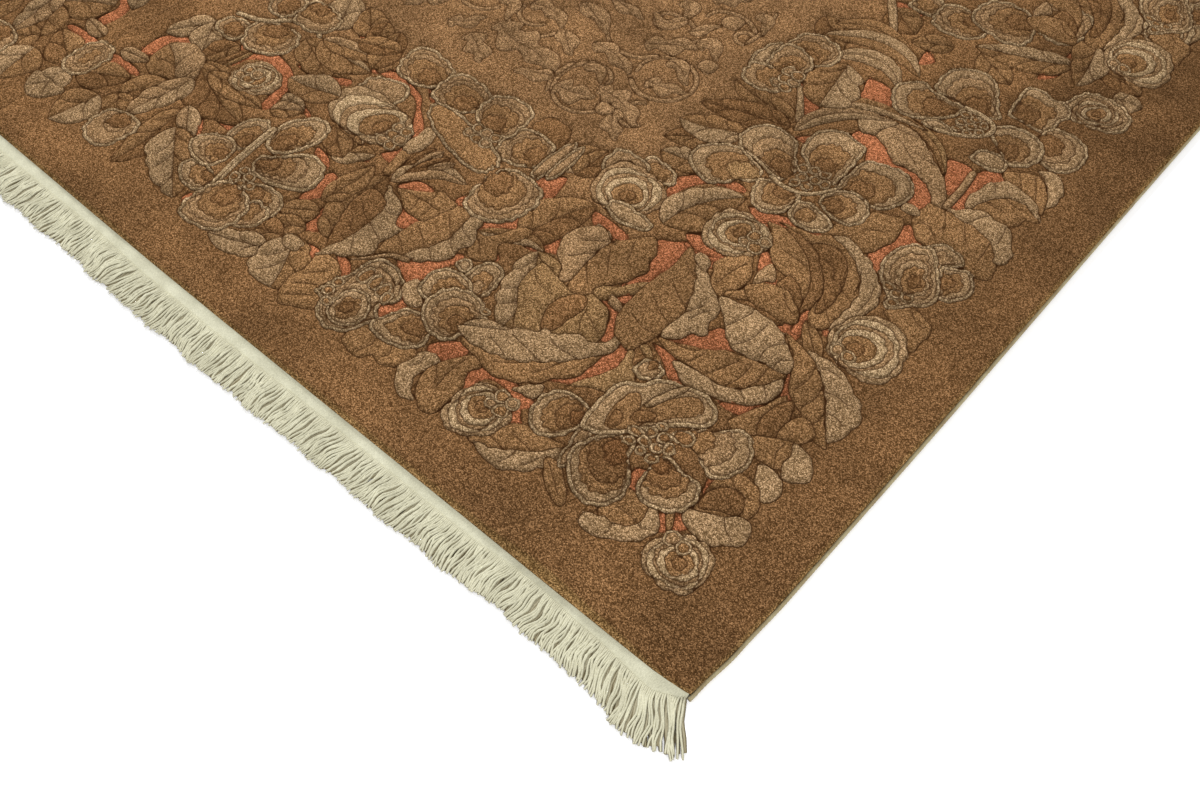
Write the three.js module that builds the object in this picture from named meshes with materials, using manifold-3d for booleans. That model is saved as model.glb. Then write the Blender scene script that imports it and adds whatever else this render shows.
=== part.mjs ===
// A carved wool rug lying flat: one pile body with a raised floral wreath, an overcast selvedge
// along each side, and a flat-woven end with its fringe at each end.
// Millimetres, +Z up. The origin is on the floor under the middle of the rug, and Y runs along it.
//
// Places in the tables are counted from a corner of the pile: "in" is the distance in from the
// side edge, and "up" is the distance up from the fringed end. The pattern is drawn for one
// quarter and mirrored to the other three.
import * as THREE from 'three';
import * as BufferGeometryUtils from 'three/addons/utils/BufferGeometryUtils.js';
import Module from 'manifold-3d';

const wasm = await Module();
wasm.setup();

// Driving dimensions
const HALF_WIDTH = 1220;        // middle of the rug to the pile's side edge
const HALF_LENGTH = 1525;       // middle of the rug to the pile's fringed end
const GROUND_TOP = 10.2;        // clipped pile of the plain ground
const LEAF_TOP = 11.2;          // carved leaves stand a little proud
const FLOWER_TOP = 12;          // flowers stand over the leaves
const PAD_FOOT = 7;             // raised forms start inside the slab
const PILE_SHOULDER = 7.5;      // height where the edge tufts stand furthest out
const SHOULDER_INSET = 2.6;     // how far the clipped top edge lies inside the shoulder
const FOOT_INSET = 1.2;         // how far the foundation's edge lies inside the shoulder
const PIECE_GAP = 0.3;

const SELVEDGE_WIDTH = 5;
const SELVEDGE_HEIGHT = 6;
const SELVEDGE_SIDES = 8;

const KILIM_WIDTH = 18;         // flat-woven strip, from the pile to the first free warps
const FRINGE_LENGTH = 45;       // free warps, from the strip to their ends
const FRINGE_THICKNESS = 2.6;
const LOCKS = 104;              // locks of warps at each end
const LOCK_ROOT_SHARE = 0.84;   // share of the pitch that a lock fills at its root
const LOCK_TIP_SHARE = 0.58;    // and at its tip

// The pile's fringed edge wanders: how far it stands out, by the distance in from the side
const END_WAVE = [
  { in: 0, out: 7 },
  { in: 40, out: 12 },
  { in: 130, out: 6 },
  { in: 205, out: 2 },
  { in: 310, out: 7 },
  { in: 500, out: 7 },
  { in: 700, out: 9 },
  { in: 840, out: 8 },
  { in: 970, out: 3 },
  { in: 1220, out: 1 },
];

// The side edge is drawn in towards the corner: how far, by the distance up from the end
const SIDE_DRAW = [
  { up: -40, draw: 11 },
  { up: 0, draw: 8 },
  { up: 60, draw: 3.5 },
  { up: 140, draw: 1 },
  { up: 420, draw: 0 },
  { up: 900, draw: 1.5 },
  { up: 1525, draw: 0 },
];

// Fringe: how far a lock's tip leans towards the near corner, by the distance in from the side
const LEAN = [
  { in: 0, lean: 36 },
  { in: 22, lean: 24 },
  { in: 60, lean: 13 },
  { in: 130, lean: 12 },
  { in: 200, lean: 1 },
  { in: 300, lean: 5 },
  { in: 380, lean: -4 },
  { in: 500, lean: -7 },
  { in: 640, lean: 3 },
  { in: 740, lean: 6 },
  { in: 840, lean: -6 },
  { in: 930, lean: 5 },
  { in: 1010, lean: 1 },
  { in: 1110, lean: -5 },
  { in: 1220, lean: 0 },
];

// Leaves: base and tip of the midrib, and the width across
const LEAVES = [
  { base: [156, 128], tip: [221, 70], width: 58 },
  { base: [148, 142], tip: [70, 156], width: 48 },
  { base: [138, 165], tip: [88, 216], width: 58 },
  { base: [145, 258], tip: [64, 266], width: 52 },
  { base: [195, 405], tip: [76, 312], width: 88 },
  { base: [300, 400], tip: [166, 360], width: 62 },
  { base: [322, 274], tip: [355, 440], width: 72 },
  { base: [470, 160], tip: [340, 276], width: 72 },
  { base: [295, 114], tip: [384, 66], width: 58 },
  { base: [418, 300], tip: [418, 424], width: 62 },
  { base: [440, 290], tip: [362, 262], width: 56 },
  { base: [295, 402], tip: [204, 436], width: 54 },
  { base: [126, 500], tip: [80, 520], width: 52 },
  { base: [248, 568], tip: [162, 456], width: 80 },
  { base: [326, 536], tip: [214, 456], width: 62 },
  { base: [188, 692], tip: [70, 650], width: 84 },
  { base: [152, 716], tip: [71, 752], width: 56 },
  { base: [146, 800], tip: [76, 790], width: 60 },
  { base: [174, 700], tip: [306, 770], width: 48 },
  { base: [421, 450], tip: [364, 546], width: 64 },
  { base: [417, 838], tip: [402, 750], width: 74 },
  { base: [190, 1170], tip: [152, 1010], width: 64 },
  { base: [186, 1172], tip: [84, 1068], width: 66 },
  { base: [505, 305], tip: [442, 205], width: 66 },
  { base: [545, 310], tip: [503, 406], width: 62 },
  { base: [436, 310], tip: [492, 388], width: 56 },
  { base: [712, 133], tip: [604, 300], width: 62 },
  { base: [712, 134], tip: [728, 272], width: 76 },
  { base: [751, 136], tip: [704, 66], width: 70 },
  { base: [484, 120], tip: [460, 62], width: 58 },
  { base: [1078, 205], tip: [1150, 266], width: 70 },
  { base: [1075, 232], tip: [1097, 132], width: 44 },
  { base: [1093, 254], tip: [958, 214], width: 54 },
  { base: [1034, 182], tip: [1022, 66], width: 52 },
  { base: [1016, 156], tip: [922, 76], width: 58 },
  { base: [1146, 128], tip: [1158, 56], width: 56 },
  { base: [1000, 402], tip: [908, 398], width: 62 },
  { base: [1021, 386], tip: [930, 356], width: 58 },
  { base: [1000, 430], tip: [1042, 496], width: 56 },
  { base: [602, 440], tip: [546, 496], width: 52 },
  { base: [440, 640], tip: [520, 602], width: 62 },
];

// Flowers: the middle of each petal group and its half-widths across and along the rug
const LOBES = [
  { at: [108, 96], half: [37, 33] },
  { at: [250, 222], half: [56, 56] },
  { at: [159, 233], half: [38, 33] },
  { at: [168, 166], half: [42, 35] },
  { at: [245, 113], half: [41, 41] },
  { at: [333, 151], half: [33, 36] },
  { at: [398, 96], half: [35, 37] },
  { at: [118, 455], half: [44, 48] },
  { at: [138, 585], half: [46, 50] },
  { at: [336, 684], half: [38, 46] },
  { at: [254, 678], half: [42, 38] },
  { at: [406, 645], half: [44, 33] },
  { at: [430, 581], half: [46, 36] },
  { at: [286, 605], half: [46, 46] },
  { at: [342, 495], half: [42, 37] },
  { at: [265, 913], half: [43, 42] },
  { at: [180, 934], half: [46, 38] },
  { at: [109, 881], half: [38, 40] },
  { at: [170, 850], half: [44, 34] },
  { at: [250, 840], half: [48, 34] },
  { at: [112, 978], half: [42, 34] },
  { at: [118, 1192], half: [38, 38] },
  { at: [301, 1057], half: [44, 40] },
  { at: [236, 1107], half: [38, 42] },
  { at: [348, 1016], half: [42, 30] },
  { at: [522, 176], half: [36, 36] },
  { at: [545, 122], half: [36, 29] },
  { at: [604, 351], half: [40, 43] },
  { at: [712, 392], half: [74, 24] },
  { at: [840, 343], half: [66, 40] },
  { at: [618, 115], half: [44, 58] },
  { at: [884, 254], half: [32, 38] },
  { at: [846, 212], half: [48, 33] },
  { at: [934, 200], half: [28, 42] },
  { at: [956, 164], half: [32, 30] },
  { at: [866, 102], half: [38, 40] },
  { at: [1011, 289], half: [35, 32] },
  { at: [1085, 101], half: [34, 33] },
  { at: [1061, 357], half: [38, 34] },
  { at: [1040, 430], half: [38, 30] },
  { at: [1228, 168], half: [40, 36] },
  { at: [850, 455], half: [40, 32] },
  { at: [775, 451], half: [36, 34] },
  { at: [704, 457], half: [38, 34] },
  { at: [495, 468], half: [46, 48] },
  { at: [480, 800], half: [46, 52] },
];

// The wreath's last stretch along the side repeats the stretch before it
const REPEAT_FROM = 560;
const REPEAT_TO = 760;
const REPEAT_SHIFT = 650;

const LOBE_POINTS = 7;

// Helpers

// Smooth value between the rows of a table
function between(rows, key, value, x) {
  if (x <= rows[0][key]) {
    return rows[0][value];
  }
  for (let i = 1; i < rows.length; i += 1) {
    const low = rows[i - 1];
    const high = rows[i];
    if (x <= high[key]) {
      const share = (x - low[key]) / (high[key] - low[key]);
      const ease = (1 - Math.cos(Math.PI * share)) / 2;
      return low[value] + (high[value] - low[value]) * ease;
    }
  }
  return rows[rows.length - 1][value];
}

// Side edge at a height y of the plan, and fringed edge at a width x, both as distances out
function sideOut(y) {
  return HALF_WIDTH - between(SIDE_DRAW, 'up', 'draw', HALF_LENGTH - Math.abs(y));
}

function endOut(x) {
  return HALF_LENGTH + between(END_WAVE, 'in', 'out', HALF_WIDTH - Math.abs(x));
}

function solidFrom(geometry) {
  const bare = geometry.clone();
  bare.deleteAttribute('normal');
  bare.deleteAttribute('uv');
  const merged = BufferGeometryUtils.mergeVertices(bare, 1e-4);
  return new wasm.Manifold(new wasm.Mesh({
    numProp: 3,
    vertProperties: merged.attributes.position.array,
    triVerts: new Uint32Array(merged.index.array),
  }));
}

function geometryFrom(solid) {
  const mesh = solid.getMesh();
  const geometry = new THREE.BufferGeometry();
  geometry.setAttribute('position', new THREE.BufferAttribute(mesh.vertProperties, 3));
  geometry.setIndex(new THREE.BufferAttribute(mesh.triVerts, 1));
  geometry.computeVertexNormals();
  return geometry;
}

// A prism on a plan outline, from one height to another
function prism(outline, low, high) {
  const points = outline.map(([x, y]) => new THREE.Vector2(x, y));
  if (THREE.ShapeUtils.isClockWise(points)) {
    points.reverse();
  }
  const geometry = new THREE.ExtrudeGeometry(new THREE.Shape(points), {
    depth: high - low,
    bevelEnabled: false,
  });
  geometry.translate(0, 0, low);
  return geometry;
}

// Stations along the edges, shared by every piece that lies against them
const END_STEPS = 48;
const SIDE_STATIONS = [0, 30, 60, 100, 140, 280, 420, 660, 900, 1210];

function endStations(corner) {
  const stations = [-corner];
  for (let i = 1; i < END_STEPS; i += 1) {
    stations.push(-HALF_WIDTH + (2 * HALF_WIDTH * i) / END_STEPS);
  }
  stations.push(corner);
  return stations;
}

function sideStations(corner) {
  const lower = SIDE_STATIONS.map((up) => up - HALF_LENGTH);
  const upper = lower.map((y) => -y).reverse();
  return [-corner, ...lower, 0, ...upper, corner];
}

// The pile body: a slab whose edge tufts lean out and whose top is clipped level
function bodyOutline(inset) {
  const cornerX = sideOut(HALF_LENGTH);
  const cornerY = endOut(cornerX);
  const end = endStations(cornerX - inset).map((x) => [x, -(endOut(x) - inset)]);
  const side = sideStations(cornerY - inset).slice(1, -1).map((y) => [sideOut(y) - inset, y]);
  const half = end.concat(side);
  return half.concat(half.map(([x, y]) => [-x, -y]));
}

// Rings of one outline at several insets and heights, closed by a lid at each end
function loft(rings) {
  const count = rings[0].outline.length;
  const positions = [];
  const index = [];
  rings.forEach(({ outline, height }) => {
    outline.forEach(([x, y]) => positions.push(x, y, height));
  });
  for (let r = 0; r + 1 < rings.length; r += 1) {
    for (let i = 0; i < count; i += 1) {
      const a = r * count + i;
      const b = r * count + ((i + 1) % count);
      index.push(a, b, b + count, a, b + count, a + count);
    }
  }
  const top = (rings.length - 1) * count;
  const contour = rings[0].outline.map(([x, y]) => new THREE.Vector2(x, y));
  THREE.ShapeUtils.triangulateShape(contour, []).forEach(([a, b, c]) => {
    index.push(a, c, b);
    index.push(top + a, top + b, top + c);
  });
  const geometry = new THREE.BufferGeometry();
  geometry.setAttribute('position', new THREE.Float32BufferAttribute(positions, 3));
  geometry.setIndex(index);
  return geometry;
}

function leafOutline({ base, tip, width }) {
  const along = [tip[0] - base[0], tip[1] - base[1]];
  const length = Math.hypot(...along);
  const across = [-along[1] / length, along[0] / length];
  // how full the leaf is at each share of its length
  const fullness = [[0.28, 0.46], [0.7, 0.46]];
  const side = (sign) => fullness.map(([share, full]) => [
    base[0] + along[0] * share + across[0] * full * width * sign,
    base[1] + along[1] * share + across[1] * full * width * sign,
  ]);
  return [base, ...side(1), tip, ...side(-1).reverse()];
}

function lobeOutline({ at, half }) {
  const points = [];
  for (let i = 0; i < LOBE_POINTS; i += 1) {
    const turn = ((i + 0.5) * 2 * Math.PI) / LOBE_POINTS;
    points.push([at[0] + half[0] * Math.cos(turn), at[1] + half[1] * Math.sin(turn)]);
  }
  return points;
}

// The wreath's rows with the repeated stretch added
function repeated(rows, place) {
  const again = rows
    .filter((row) => place(row)[0] < 480 && place(row)[1] > REPEAT_FROM && place(row)[1] < REPEAT_TO)
    .map((row) => {
      const copy = { ...row };
      ['at', 'base', 'tip'].filter((key) => key in row).forEach((key) => {
        copy[key] = [row[key][0], row[key][1] + REPEAT_SHIFT];
      });
      return copy;
    });
  return rows.concat(again);
}

// One quarter's raised forms, standing out of the slab up to a height
function raisedQuarter(outlines, top) {
  const pads = outlines.map((outline) => {
    const placed = outline.map(([inward, up]) => [HALF_WIDTH - inward, -HALF_LENGTH + up]);
    return solidFrom(prism(placed, PAD_FOOT, top));
  });
  return wasm.Manifold.union(pads);
}

function pileBody() {
  const slab = solidFrom(loft([
    { outline: bodyOutline(FOOT_INSET), height: 0 },
    { outline: bodyOutline(0), height: PILE_SHOULDER },
    { outline: bodyOutline(SHOULDER_INSET), height: GROUND_TOP },
  ]));
  const leaves = repeated(LEAVES, (row) => row.base).map(leafOutline);
  const lobes = repeated(LOBES, (row) => row.at).map(lobeOutline);
  const quarter = raisedQuarter(leaves, LEAF_TOP).add(raisedQuarter(lobes, FLOWER_TOP));
  const half = quarter.add(quarter.mirror([1, 0, 0]));
  const wreath = half.add(half.mirror([0, 1, 0]));
  return geometryFrom(slab.add(wreath));
}

// The selvedge: side warps overcast into a round cord, lying on the floor beside the pile
function selvedge(sign) {
  const corner = endOut(sideOut(HALF_LENGTH));
  const reach = corner + KILIM_WIDTH - 1;
  const points = [-reach, ...sideStations(corner), reach].map((y) => {
    const x = sideOut(y) + PIECE_GAP + SELVEDGE_WIDTH / 2;
    return [sign * x, y];
  });
  // each ring of the cord lies across the line of the side
  const positions = [];
  const index = [];
  points.forEach(([x, y]) => {
    for (let i = 0; i < SELVEDGE_SIDES; i += 1) {
      const turn = ((i + 0.5) * 2 * Math.PI) / SELVEDGE_SIDES;
      const flat = Math.cos(Math.PI / SELVEDGE_SIDES);
      positions.push(
        x + (Math.cos(turn) * SELVEDGE_WIDTH) / 2 / flat,
        y,
        SELVEDGE_HEIGHT / 2 + (Math.sin(turn) * SELVEDGE_HEIGHT) / 2 / flat,
      );
    }
  });
  for (let r = 0; r + 1 < points.length; r += 1) {
    for (let i = 0; i < SELVEDGE_SIDES; i += 1) {
      const a = r * SELVEDGE_SIDES + i;
      const b = r * SELVEDGE_SIDES + ((i + 1) % SELVEDGE_SIDES);
      index.push(a, a + SELVEDGE_SIDES, b + SELVEDGE_SIDES, a, b + SELVEDGE_SIDES, b);
    }
  }
  const last = (points.length - 1) * SELVEDGE_SIDES;
  for (let i = 1; i + 1 < SELVEDGE_SIDES; i += 1) {
    index.push(0, i, i + 1);
    index.push(last, last + i + 1, last + i);
  }
  const geometry = new THREE.BufferGeometry();
  geometry.setAttribute('position', new THREE.Float32BufferAttribute(positions, 3));
  geometry.setIndex(index);
  geometry.computeVertexNormals();
  return geometry;
}

// The flat-woven end with its fringe: one comb-shaped outline, laid level on the floor
function fringedEnd(sign) {
  const reach = sideOut(HALF_LENGTH + KILIM_WIDTH) - PIECE_GAP;
  const pileInset = FOOT_INSET * (1 - FRINGE_THICKNESS / PILE_SHOULDER);
  const pileSide = (x) => endOut(x) - pileInset + PIECE_GAP;
  const inner = endStations(reach).map((x) => [x, pileSide(x)]);
  const outer = [];
  const pitch = (2 * reach) / LOCKS;
  for (let i = 0; i < LOCKS; i += 1) {
    const middle = reach - pitch * (i + 0.5);
    const root = pileSide(middle) + KILIM_WIDTH;
    const corner = Math.sign(middle) || 1;
    const lean = corner * between(LEAN, 'in', 'lean', HALF_WIDTH - Math.abs(middle));
    const length = FRINGE_LENGTH * (1 + 0.05 * Math.sin(i * 1.9) + 0.04 * Math.sin(i * 0.53 + 1));
    const halfRoot = (pitch * LOCK_ROOT_SHARE) / 2;
    const halfTip = (pitch * LOCK_TIP_SHARE) / 2;
    const tip = root + Math.sqrt(Math.max(length ** 2 - lean ** 2, 0));
    outer.push([middle + halfRoot, root]);
    outer.push([middle + lean * 0.4 + halfRoot, (root + tip) / 2]);
    outer.push([middle + lean + halfTip, tip]);
    outer.push([middle + lean - halfTip, tip]);
    outer.push([middle + lean * 0.4 - halfRoot, (root + tip) / 2]);
    outer.push([middle - halfRoot, root]);
  }
  const outline = inner.concat(outer).map(([x, y]) => [x, sign * y]);
  const geometry = prism(outline, 0, FRINGE_THICKNESS);
  return geometryFrom(solidFrom(geometry));
}

// Materials
const woolBrown = new THREE.MeshStandardMaterial({ color: 0x85623e, roughness: 0.95, metalness: 0 });
const cottonCream = new THREE.MeshStandardMaterial({ color: 0xded9c4, roughness: 0.9, metalness: 0 });
const overcastOlive = new THREE.MeshStandardMaterial({ color: 0xb3a878, roughness: 0.9, metalness: 0 });

function piece(name, geometry, material) {
  const mesh = new THREE.Mesh(geometry, material);
  mesh.name = name;
  return mesh;
}

const rug = new THREE.Group();
rug.add(piece('pile_body', pileBody(), woolBrown));
rug.add(piece('selvedge_right', selvedge(1), overcastOlive));
rug.add(piece('selvedge_left', selvedge(-1), overcastOlive));
rug.add(piece('fringed_end_front', fringedEnd(-1), cottonCream));
rug.add(piece('fringed_end_back', fringedEnd(1), cottonCream));

export default rug;
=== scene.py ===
# %% [markdown]
# # A carved wool rug
# A room-sized rug lies flat on the floor. Its wool pile was knotted, clipped level and then carved
# with scissors along every outline of the pattern, so flowers and leaves stand like low cushions
# between fine dark grooves. Each long side is wrapped into a thin cord, and each end finishes in a
# flat-woven cotton strip from which the warps run out as a fringe.
#
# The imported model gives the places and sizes. Everything here is drawn in millimetres, counted from
# the rug's middle, and becomes metres only where a mesh is made.

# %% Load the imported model
import math

import bmesh
import bpy
import numpy as np
from mathutils import Matrix, Vector, kdtree
from mathutils.geometry import delaunay_2d_cdt


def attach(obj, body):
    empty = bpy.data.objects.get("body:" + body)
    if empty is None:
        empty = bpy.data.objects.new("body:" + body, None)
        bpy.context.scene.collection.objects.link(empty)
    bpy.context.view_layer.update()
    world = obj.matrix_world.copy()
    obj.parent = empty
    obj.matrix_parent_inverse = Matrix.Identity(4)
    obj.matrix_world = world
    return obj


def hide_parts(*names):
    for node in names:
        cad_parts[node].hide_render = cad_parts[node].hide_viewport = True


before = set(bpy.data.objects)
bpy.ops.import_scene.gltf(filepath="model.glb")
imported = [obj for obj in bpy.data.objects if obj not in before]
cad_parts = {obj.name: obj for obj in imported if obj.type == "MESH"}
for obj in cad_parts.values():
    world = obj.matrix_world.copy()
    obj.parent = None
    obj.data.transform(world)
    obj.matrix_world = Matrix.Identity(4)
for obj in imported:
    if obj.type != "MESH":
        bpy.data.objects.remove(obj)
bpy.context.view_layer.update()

MM = 0.001
print("nodes:", sorted(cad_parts))

# %% [markdown]
# ## Floor, light and camera
# A rug seller photographs a rug on a white floor under large soft lamps, from a ladder at one
# corner. A big area light high on one side gives the carving its soft relief, and a pale world
# fills the shadows. A sun lamp would be simpler, but its shadows are hard. The camera is a 39 mm
# lens about 1.2 m over the floor, looking down at the near corner. A constraint could aim it, but
# three angles stay readable.

# %% Floor
FLOOR_HALF = 30.0
FLOOR_DROP = 0.0004
FLOOR_WHITE = (0.98, 0.98, 0.98, 1)


def in_scene(name, data):
    """a new object that shows a mesh, lamp, camera or curve"""
    made = bpy.data.objects.new(name, data)
    bpy.context.scene.collection.objects.link(made)
    return made


def new_material(name, roughness, gloss):
    material = bpy.data.materials.new(name)
    material.use_nodes = True
    skin = material.node_tree.nodes["Principled BSDF"]
    skin.inputs["Roughness"].default_value = roughness
    skin.inputs["Specular IOR Level"].default_value = gloss
    return material, material.node_tree, skin


def plain_floor():
    shape = bmesh.new()
    bmesh.ops.create_grid(shape, x_segments=1, y_segments=1, size=FLOOR_HALF)
    bmesh.ops.translate(shape, verts=shape.verts, vec=(0, 0, -FLOOR_DROP))
    mesh = bpy.data.meshes.new("floor")
    shape.to_mesh(mesh)
    shape.free()
    material, tree, skin = new_material("floor_pale", roughness=1.0, gloss=0.0)
    skin.inputs["Base Color"].default_value = FLOOR_WHITE
    mesh.materials.append(material)
    floor = in_scene("floor", mesh)


plain_floor()
print("floor:", 2 * FLOOR_HALF, "m square")

# %% Lights
LAMP_SIZE = 1.1
LAMPS = [
    {"name": "key", "at": (-2.6, 1.6, 2.2), "aim": (0.5, -0.8, 0), "watts": 330},
    {"name": "fill", "at": (3.4, -3.2, 3.4), "aim": (0.5, -0.8, 0), "watts": 110},
]
WORLD_STRENGTH = 0.72


def soft_lamps():
    for lamp in LAMPS:
        light = bpy.data.lights.new(lamp["name"], "AREA")
        light.energy = lamp["watts"]
        light.size = LAMP_SIZE
        holder = in_scene(lamp["name"], light)
        holder.location = lamp["at"]
        look = Vector(lamp["aim"]) - Vector(lamp["at"])
        holder.rotation_euler = look.to_track_quat("-Z", "Y").to_euler()
    world = bpy.data.worlds.new("studio")
    world.use_nodes = True
    sky = world.node_tree.nodes["Background"]
    sky.inputs["Color"].default_value = (1, 1, 1, 1)
    sky.inputs["Strength"].default_value = WORLD_STRENGTH
    bpy.context.scene.world = world
    bpy.context.scene.view_settings.view_transform = "Standard"


soft_lamps()
print("lamps:", [lamp["name"] for lamp in LAMPS])

# %% Camera
SENSOR = 36.0
LENS = 39.0
NEAREST_SEEN = 0.05
CAMERA_AT = (1.4743, -1.9535, 1.2105)
# degrees, and the axis of each turn
CAMERA_TURNS = [(41.8, "Z"), (34.9, "X"), (-0.63, "Z")]

lens = bpy.data.cameras.new("camera")
lens.sensor_width = SENSOR
lens.lens = LENS
lens.clip_start = NEAREST_SEEN
camera = in_scene("camera", lens)
heading, tilt, roll = [Matrix.Rotation(math.radians(angle), 3, axis) for angle, axis in CAMERA_TURNS]
camera.location = CAMERA_AT
camera.rotation_euler = (heading @ tilt @ roll).to_euler()
bpy.context.scene.camera = camera
print("camera:", CAMERA_AT, "turned by", CAMERA_TURNS)

# %% [markdown]
# ## The rug's edges
# A knotted rug is never a true rectangle. Its fringed end wanders by a few millimetres where the
# loom's tension changed, and its sides are drawn in at the corners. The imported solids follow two
# short tables of these distances, and every visible piece has to meet them, so the same tables are
# read here, with the same easing between their rows.

# %% Edge lines
HALF_WIDTH = 1220.0
HALF_LENGTH = 1525.0
# distance in from the side: how far the fringed end stands out
END_WAVE = [(0, 7), (40, 12), (130, 6), (205, 2), (310, 7), (500, 7), (700, 9), (840, 8), (970, 3),
            (1220, 1)]
# distance up from the end: how far the side is drawn in
SIDE_DRAW = [(-40, 11), (0, 8), (60, 3.5), (140, 1), (420, 0), (900, 1.5), (1525, 0)]


def between(rows, x):
    """smooth value between the rows of a table"""
    at = np.array([row[0] for row in rows], float)
    value = np.array([row[1] for row in rows], float)
    x = np.clip(np.asarray(x, float), at[0], at[-1])
    low = np.clip(np.searchsorted(at, x, side="right") - 1, 0, len(at) - 2)
    share = (x - at[low]) / (at[low + 1] - at[low])
    return value[low] + (value[low + 1] - value[low]) * (1 - np.cos(np.pi * share)) / 2


def side_out(y):
    """how far the pile reaches to the side, y mm from the rug's middle"""
    return HALF_WIDTH - between(SIDE_DRAW, HALF_LENGTH - np.abs(y))


def end_out(x):
    return HALF_LENGTH + between(END_WAVE, HALF_WIDTH - np.abs(x))


print("pile at the middle:", float(side_out(0)) * 2, "by", float(end_out(0)) * 2, "mm")

# %% [markdown]
# ## Drawing the pattern
# A weaver knots such a design from a full-size chart. Here the chart is drawn from the real
# rug, with stamps for what its maker would name: leaf, petal, rose, cell, stem, gap. A picture of
# the pattern could be laid over the pile, but the carving follows every outline, so the outlines
# themselves are needed. A place is given as two numbers in millimetres, in from the long side and
# up from the fringed end. The wreath is drawn for one quarter.

# %% Tones of wool and depths of groove
# how high over the floor each tone of wool is clipped, in mm
LEVEL = {"ground": 10.6, "coral": 8.8, "light": 11.6, "taupe": 11.4, "tan": 11.2, "dark": 11.1,
         "rim": 11.9, "olive": 11.2, "deep": 10.9, "field": 10.9}
TONES = list(LEVEL)
# how deep each kind of groove is
LINE = {"deep": 2.2, "fine": 1.7, "vein": 1.6, "soft": 1.1}
print("tones:", len(TONES), " deepest groove:", LINE["deep"], "mm")

# %% Paint and groove
patches = []     # outline and tone of each shape, the latest on top
spines = []      # for each shape: the ends, bend and reach of its darkest line, or None
lines = []       # points and depth of each groove, and how many shapes were there before it


def paint(outline, tone, spine=None):
    """a coloured shape on top of what is there"""
    patches.append((np.asarray(outline, float), tone))
    spines.append(spine)


def groove(points, depth="deep", closed=False):
    """a line carved into what is painted so far"""
    points = np.asarray(points, float)
    if closed:
        points = np.vstack([points, points[:1]])
    lines.append((points, LINE[depth], len(patches)))


def filled(outline, tone, depth="deep", spine=None):
    """a coloured shape with a groove round it"""
    paint(outline, tone, spine)
    groove(outline, depth, closed=True)


def tally():
    print("shapes so far:", len(patches))


def wander(seed, k):
    """a number from 0 to 1 that is the same each time for a place"""
    value = math.sin(seed[0] * 12.9898 + seed[1] * 78.233 + k * 37.719) * 43758.5453
    return value - math.floor(value)


def phase(seed, k):
    """the same as an angle, nearly a full turn"""
    return 6.28 * wander(seed, k)


print("a place wanders by", round(wander((100, 200), 1), 3))


# %% Smooth lines through a few places
def pairs(flat):
    return np.reshape(flat, (-1, 2)).astype(float)


def placed(flat):
    """places counted in from the side and up from the end, as points of the rug"""
    return pairs(flat) * (-1, 1) + (HALF_WIDTH, -HALF_LENGTH)


def place(a, b):
    return placed((a, b))[0]


def smooth_run(corners, per):
    """points of a smooth curve from the second to the last but one of some corners"""
    made = []
    for before, start, stop, after in zip(corners, corners[1:], corners[2:], corners[3:]):
        for k in range(per):
            t = k / per
            made.append(0.5 * (2 * start + (stop - before) * t
                               + (2 * before - 5 * start + 4 * stop - after) * t ** 2
                               + (3 * start - before - 3 * stop + after) * t ** 3))
    return made


def closed_through(points, per=7):
    """smooth closed outline through a few places"""
    at = placed(points)
    return np.array(smooth_run(np.vstack([at[-1:], at, at[:2]]), per))


def bow(start, end, bend, count):
    """points from start to end, on a line bent to the left by so many mm"""
    t = np.linspace(0, 1, count)[:, None]
    along = end - start
    left = np.array([-along[1], along[0]]) / max(np.hypot(*along), 1e-6)
    return start + along * t + left * (4 * t * (1 - t)) * bend


def through(points, per):
    """smooth open curve through a few places"""
    at = placed(points)
    if len(at) == 2:
        return bow(at[0], at[1], 0, per + 1)
    run = np.vstack([2 * at[0] - at[1], at, 2 * at[-1] - at[-2]])
    return np.array(smooth_run(run, per) + [at[-1]])


def unit(steps):
    return steps / np.maximum(np.hypot(*steps.T)[:, None], 1e-6)


def left_of(curve):
    """the direction to the left of a curve, at each point"""
    step = unit(np.gradient(curve, axis=0))
    return np.column_stack([-step[:, 1], step[:, 0]])


def banded(curve, left, right):
    """the two edges of a band along a curve, so far to its left and right; the right one runs back"""
    side = left_of(curve)
    return curve + side * left[:, None], (curve - side * right[:, None])[::-1]


def crease(points, depth):
    groove(through(points, 6), depth)


print("three places make", len(closed_through((0,0, 20,0, 10,15))), "points")

# %% [markdown]
# ## Leaves
# The leaves of this style are broad, with one half paler than the other, a carved midrib and a few
# side veins. Their edges bulge between the ends of the veins. A leaf is therefore two halves on a
# slightly hooked midrib, each with its own lobes. The wool is darkest along the midrib. A small leaf
# needs no outline of its own: its base, tip and width are enough.

# %% Leaf
LEAF_POINTS = 41
LOBE_LENGTH = 34.0


def lobed(t, notches, seed):
    """-1 at each notch and up to 1 on the lobes between them, which bulge towards the tip"""
    bulge = np.zeros(len(t))
    for k, (start, stop) in enumerate(zip(notches, notches[1:])):
        here = (t >= start) & (t <= stop)
        u = (t[here] - start) / (stop - start)
        swell = 0.7 + 0.6 * wander(seed, 40 + k)
        bulge[here] = swell * 2 * np.sin(math.pi * u ** 1.35) ** 0.6 - 1
    return bulge


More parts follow.
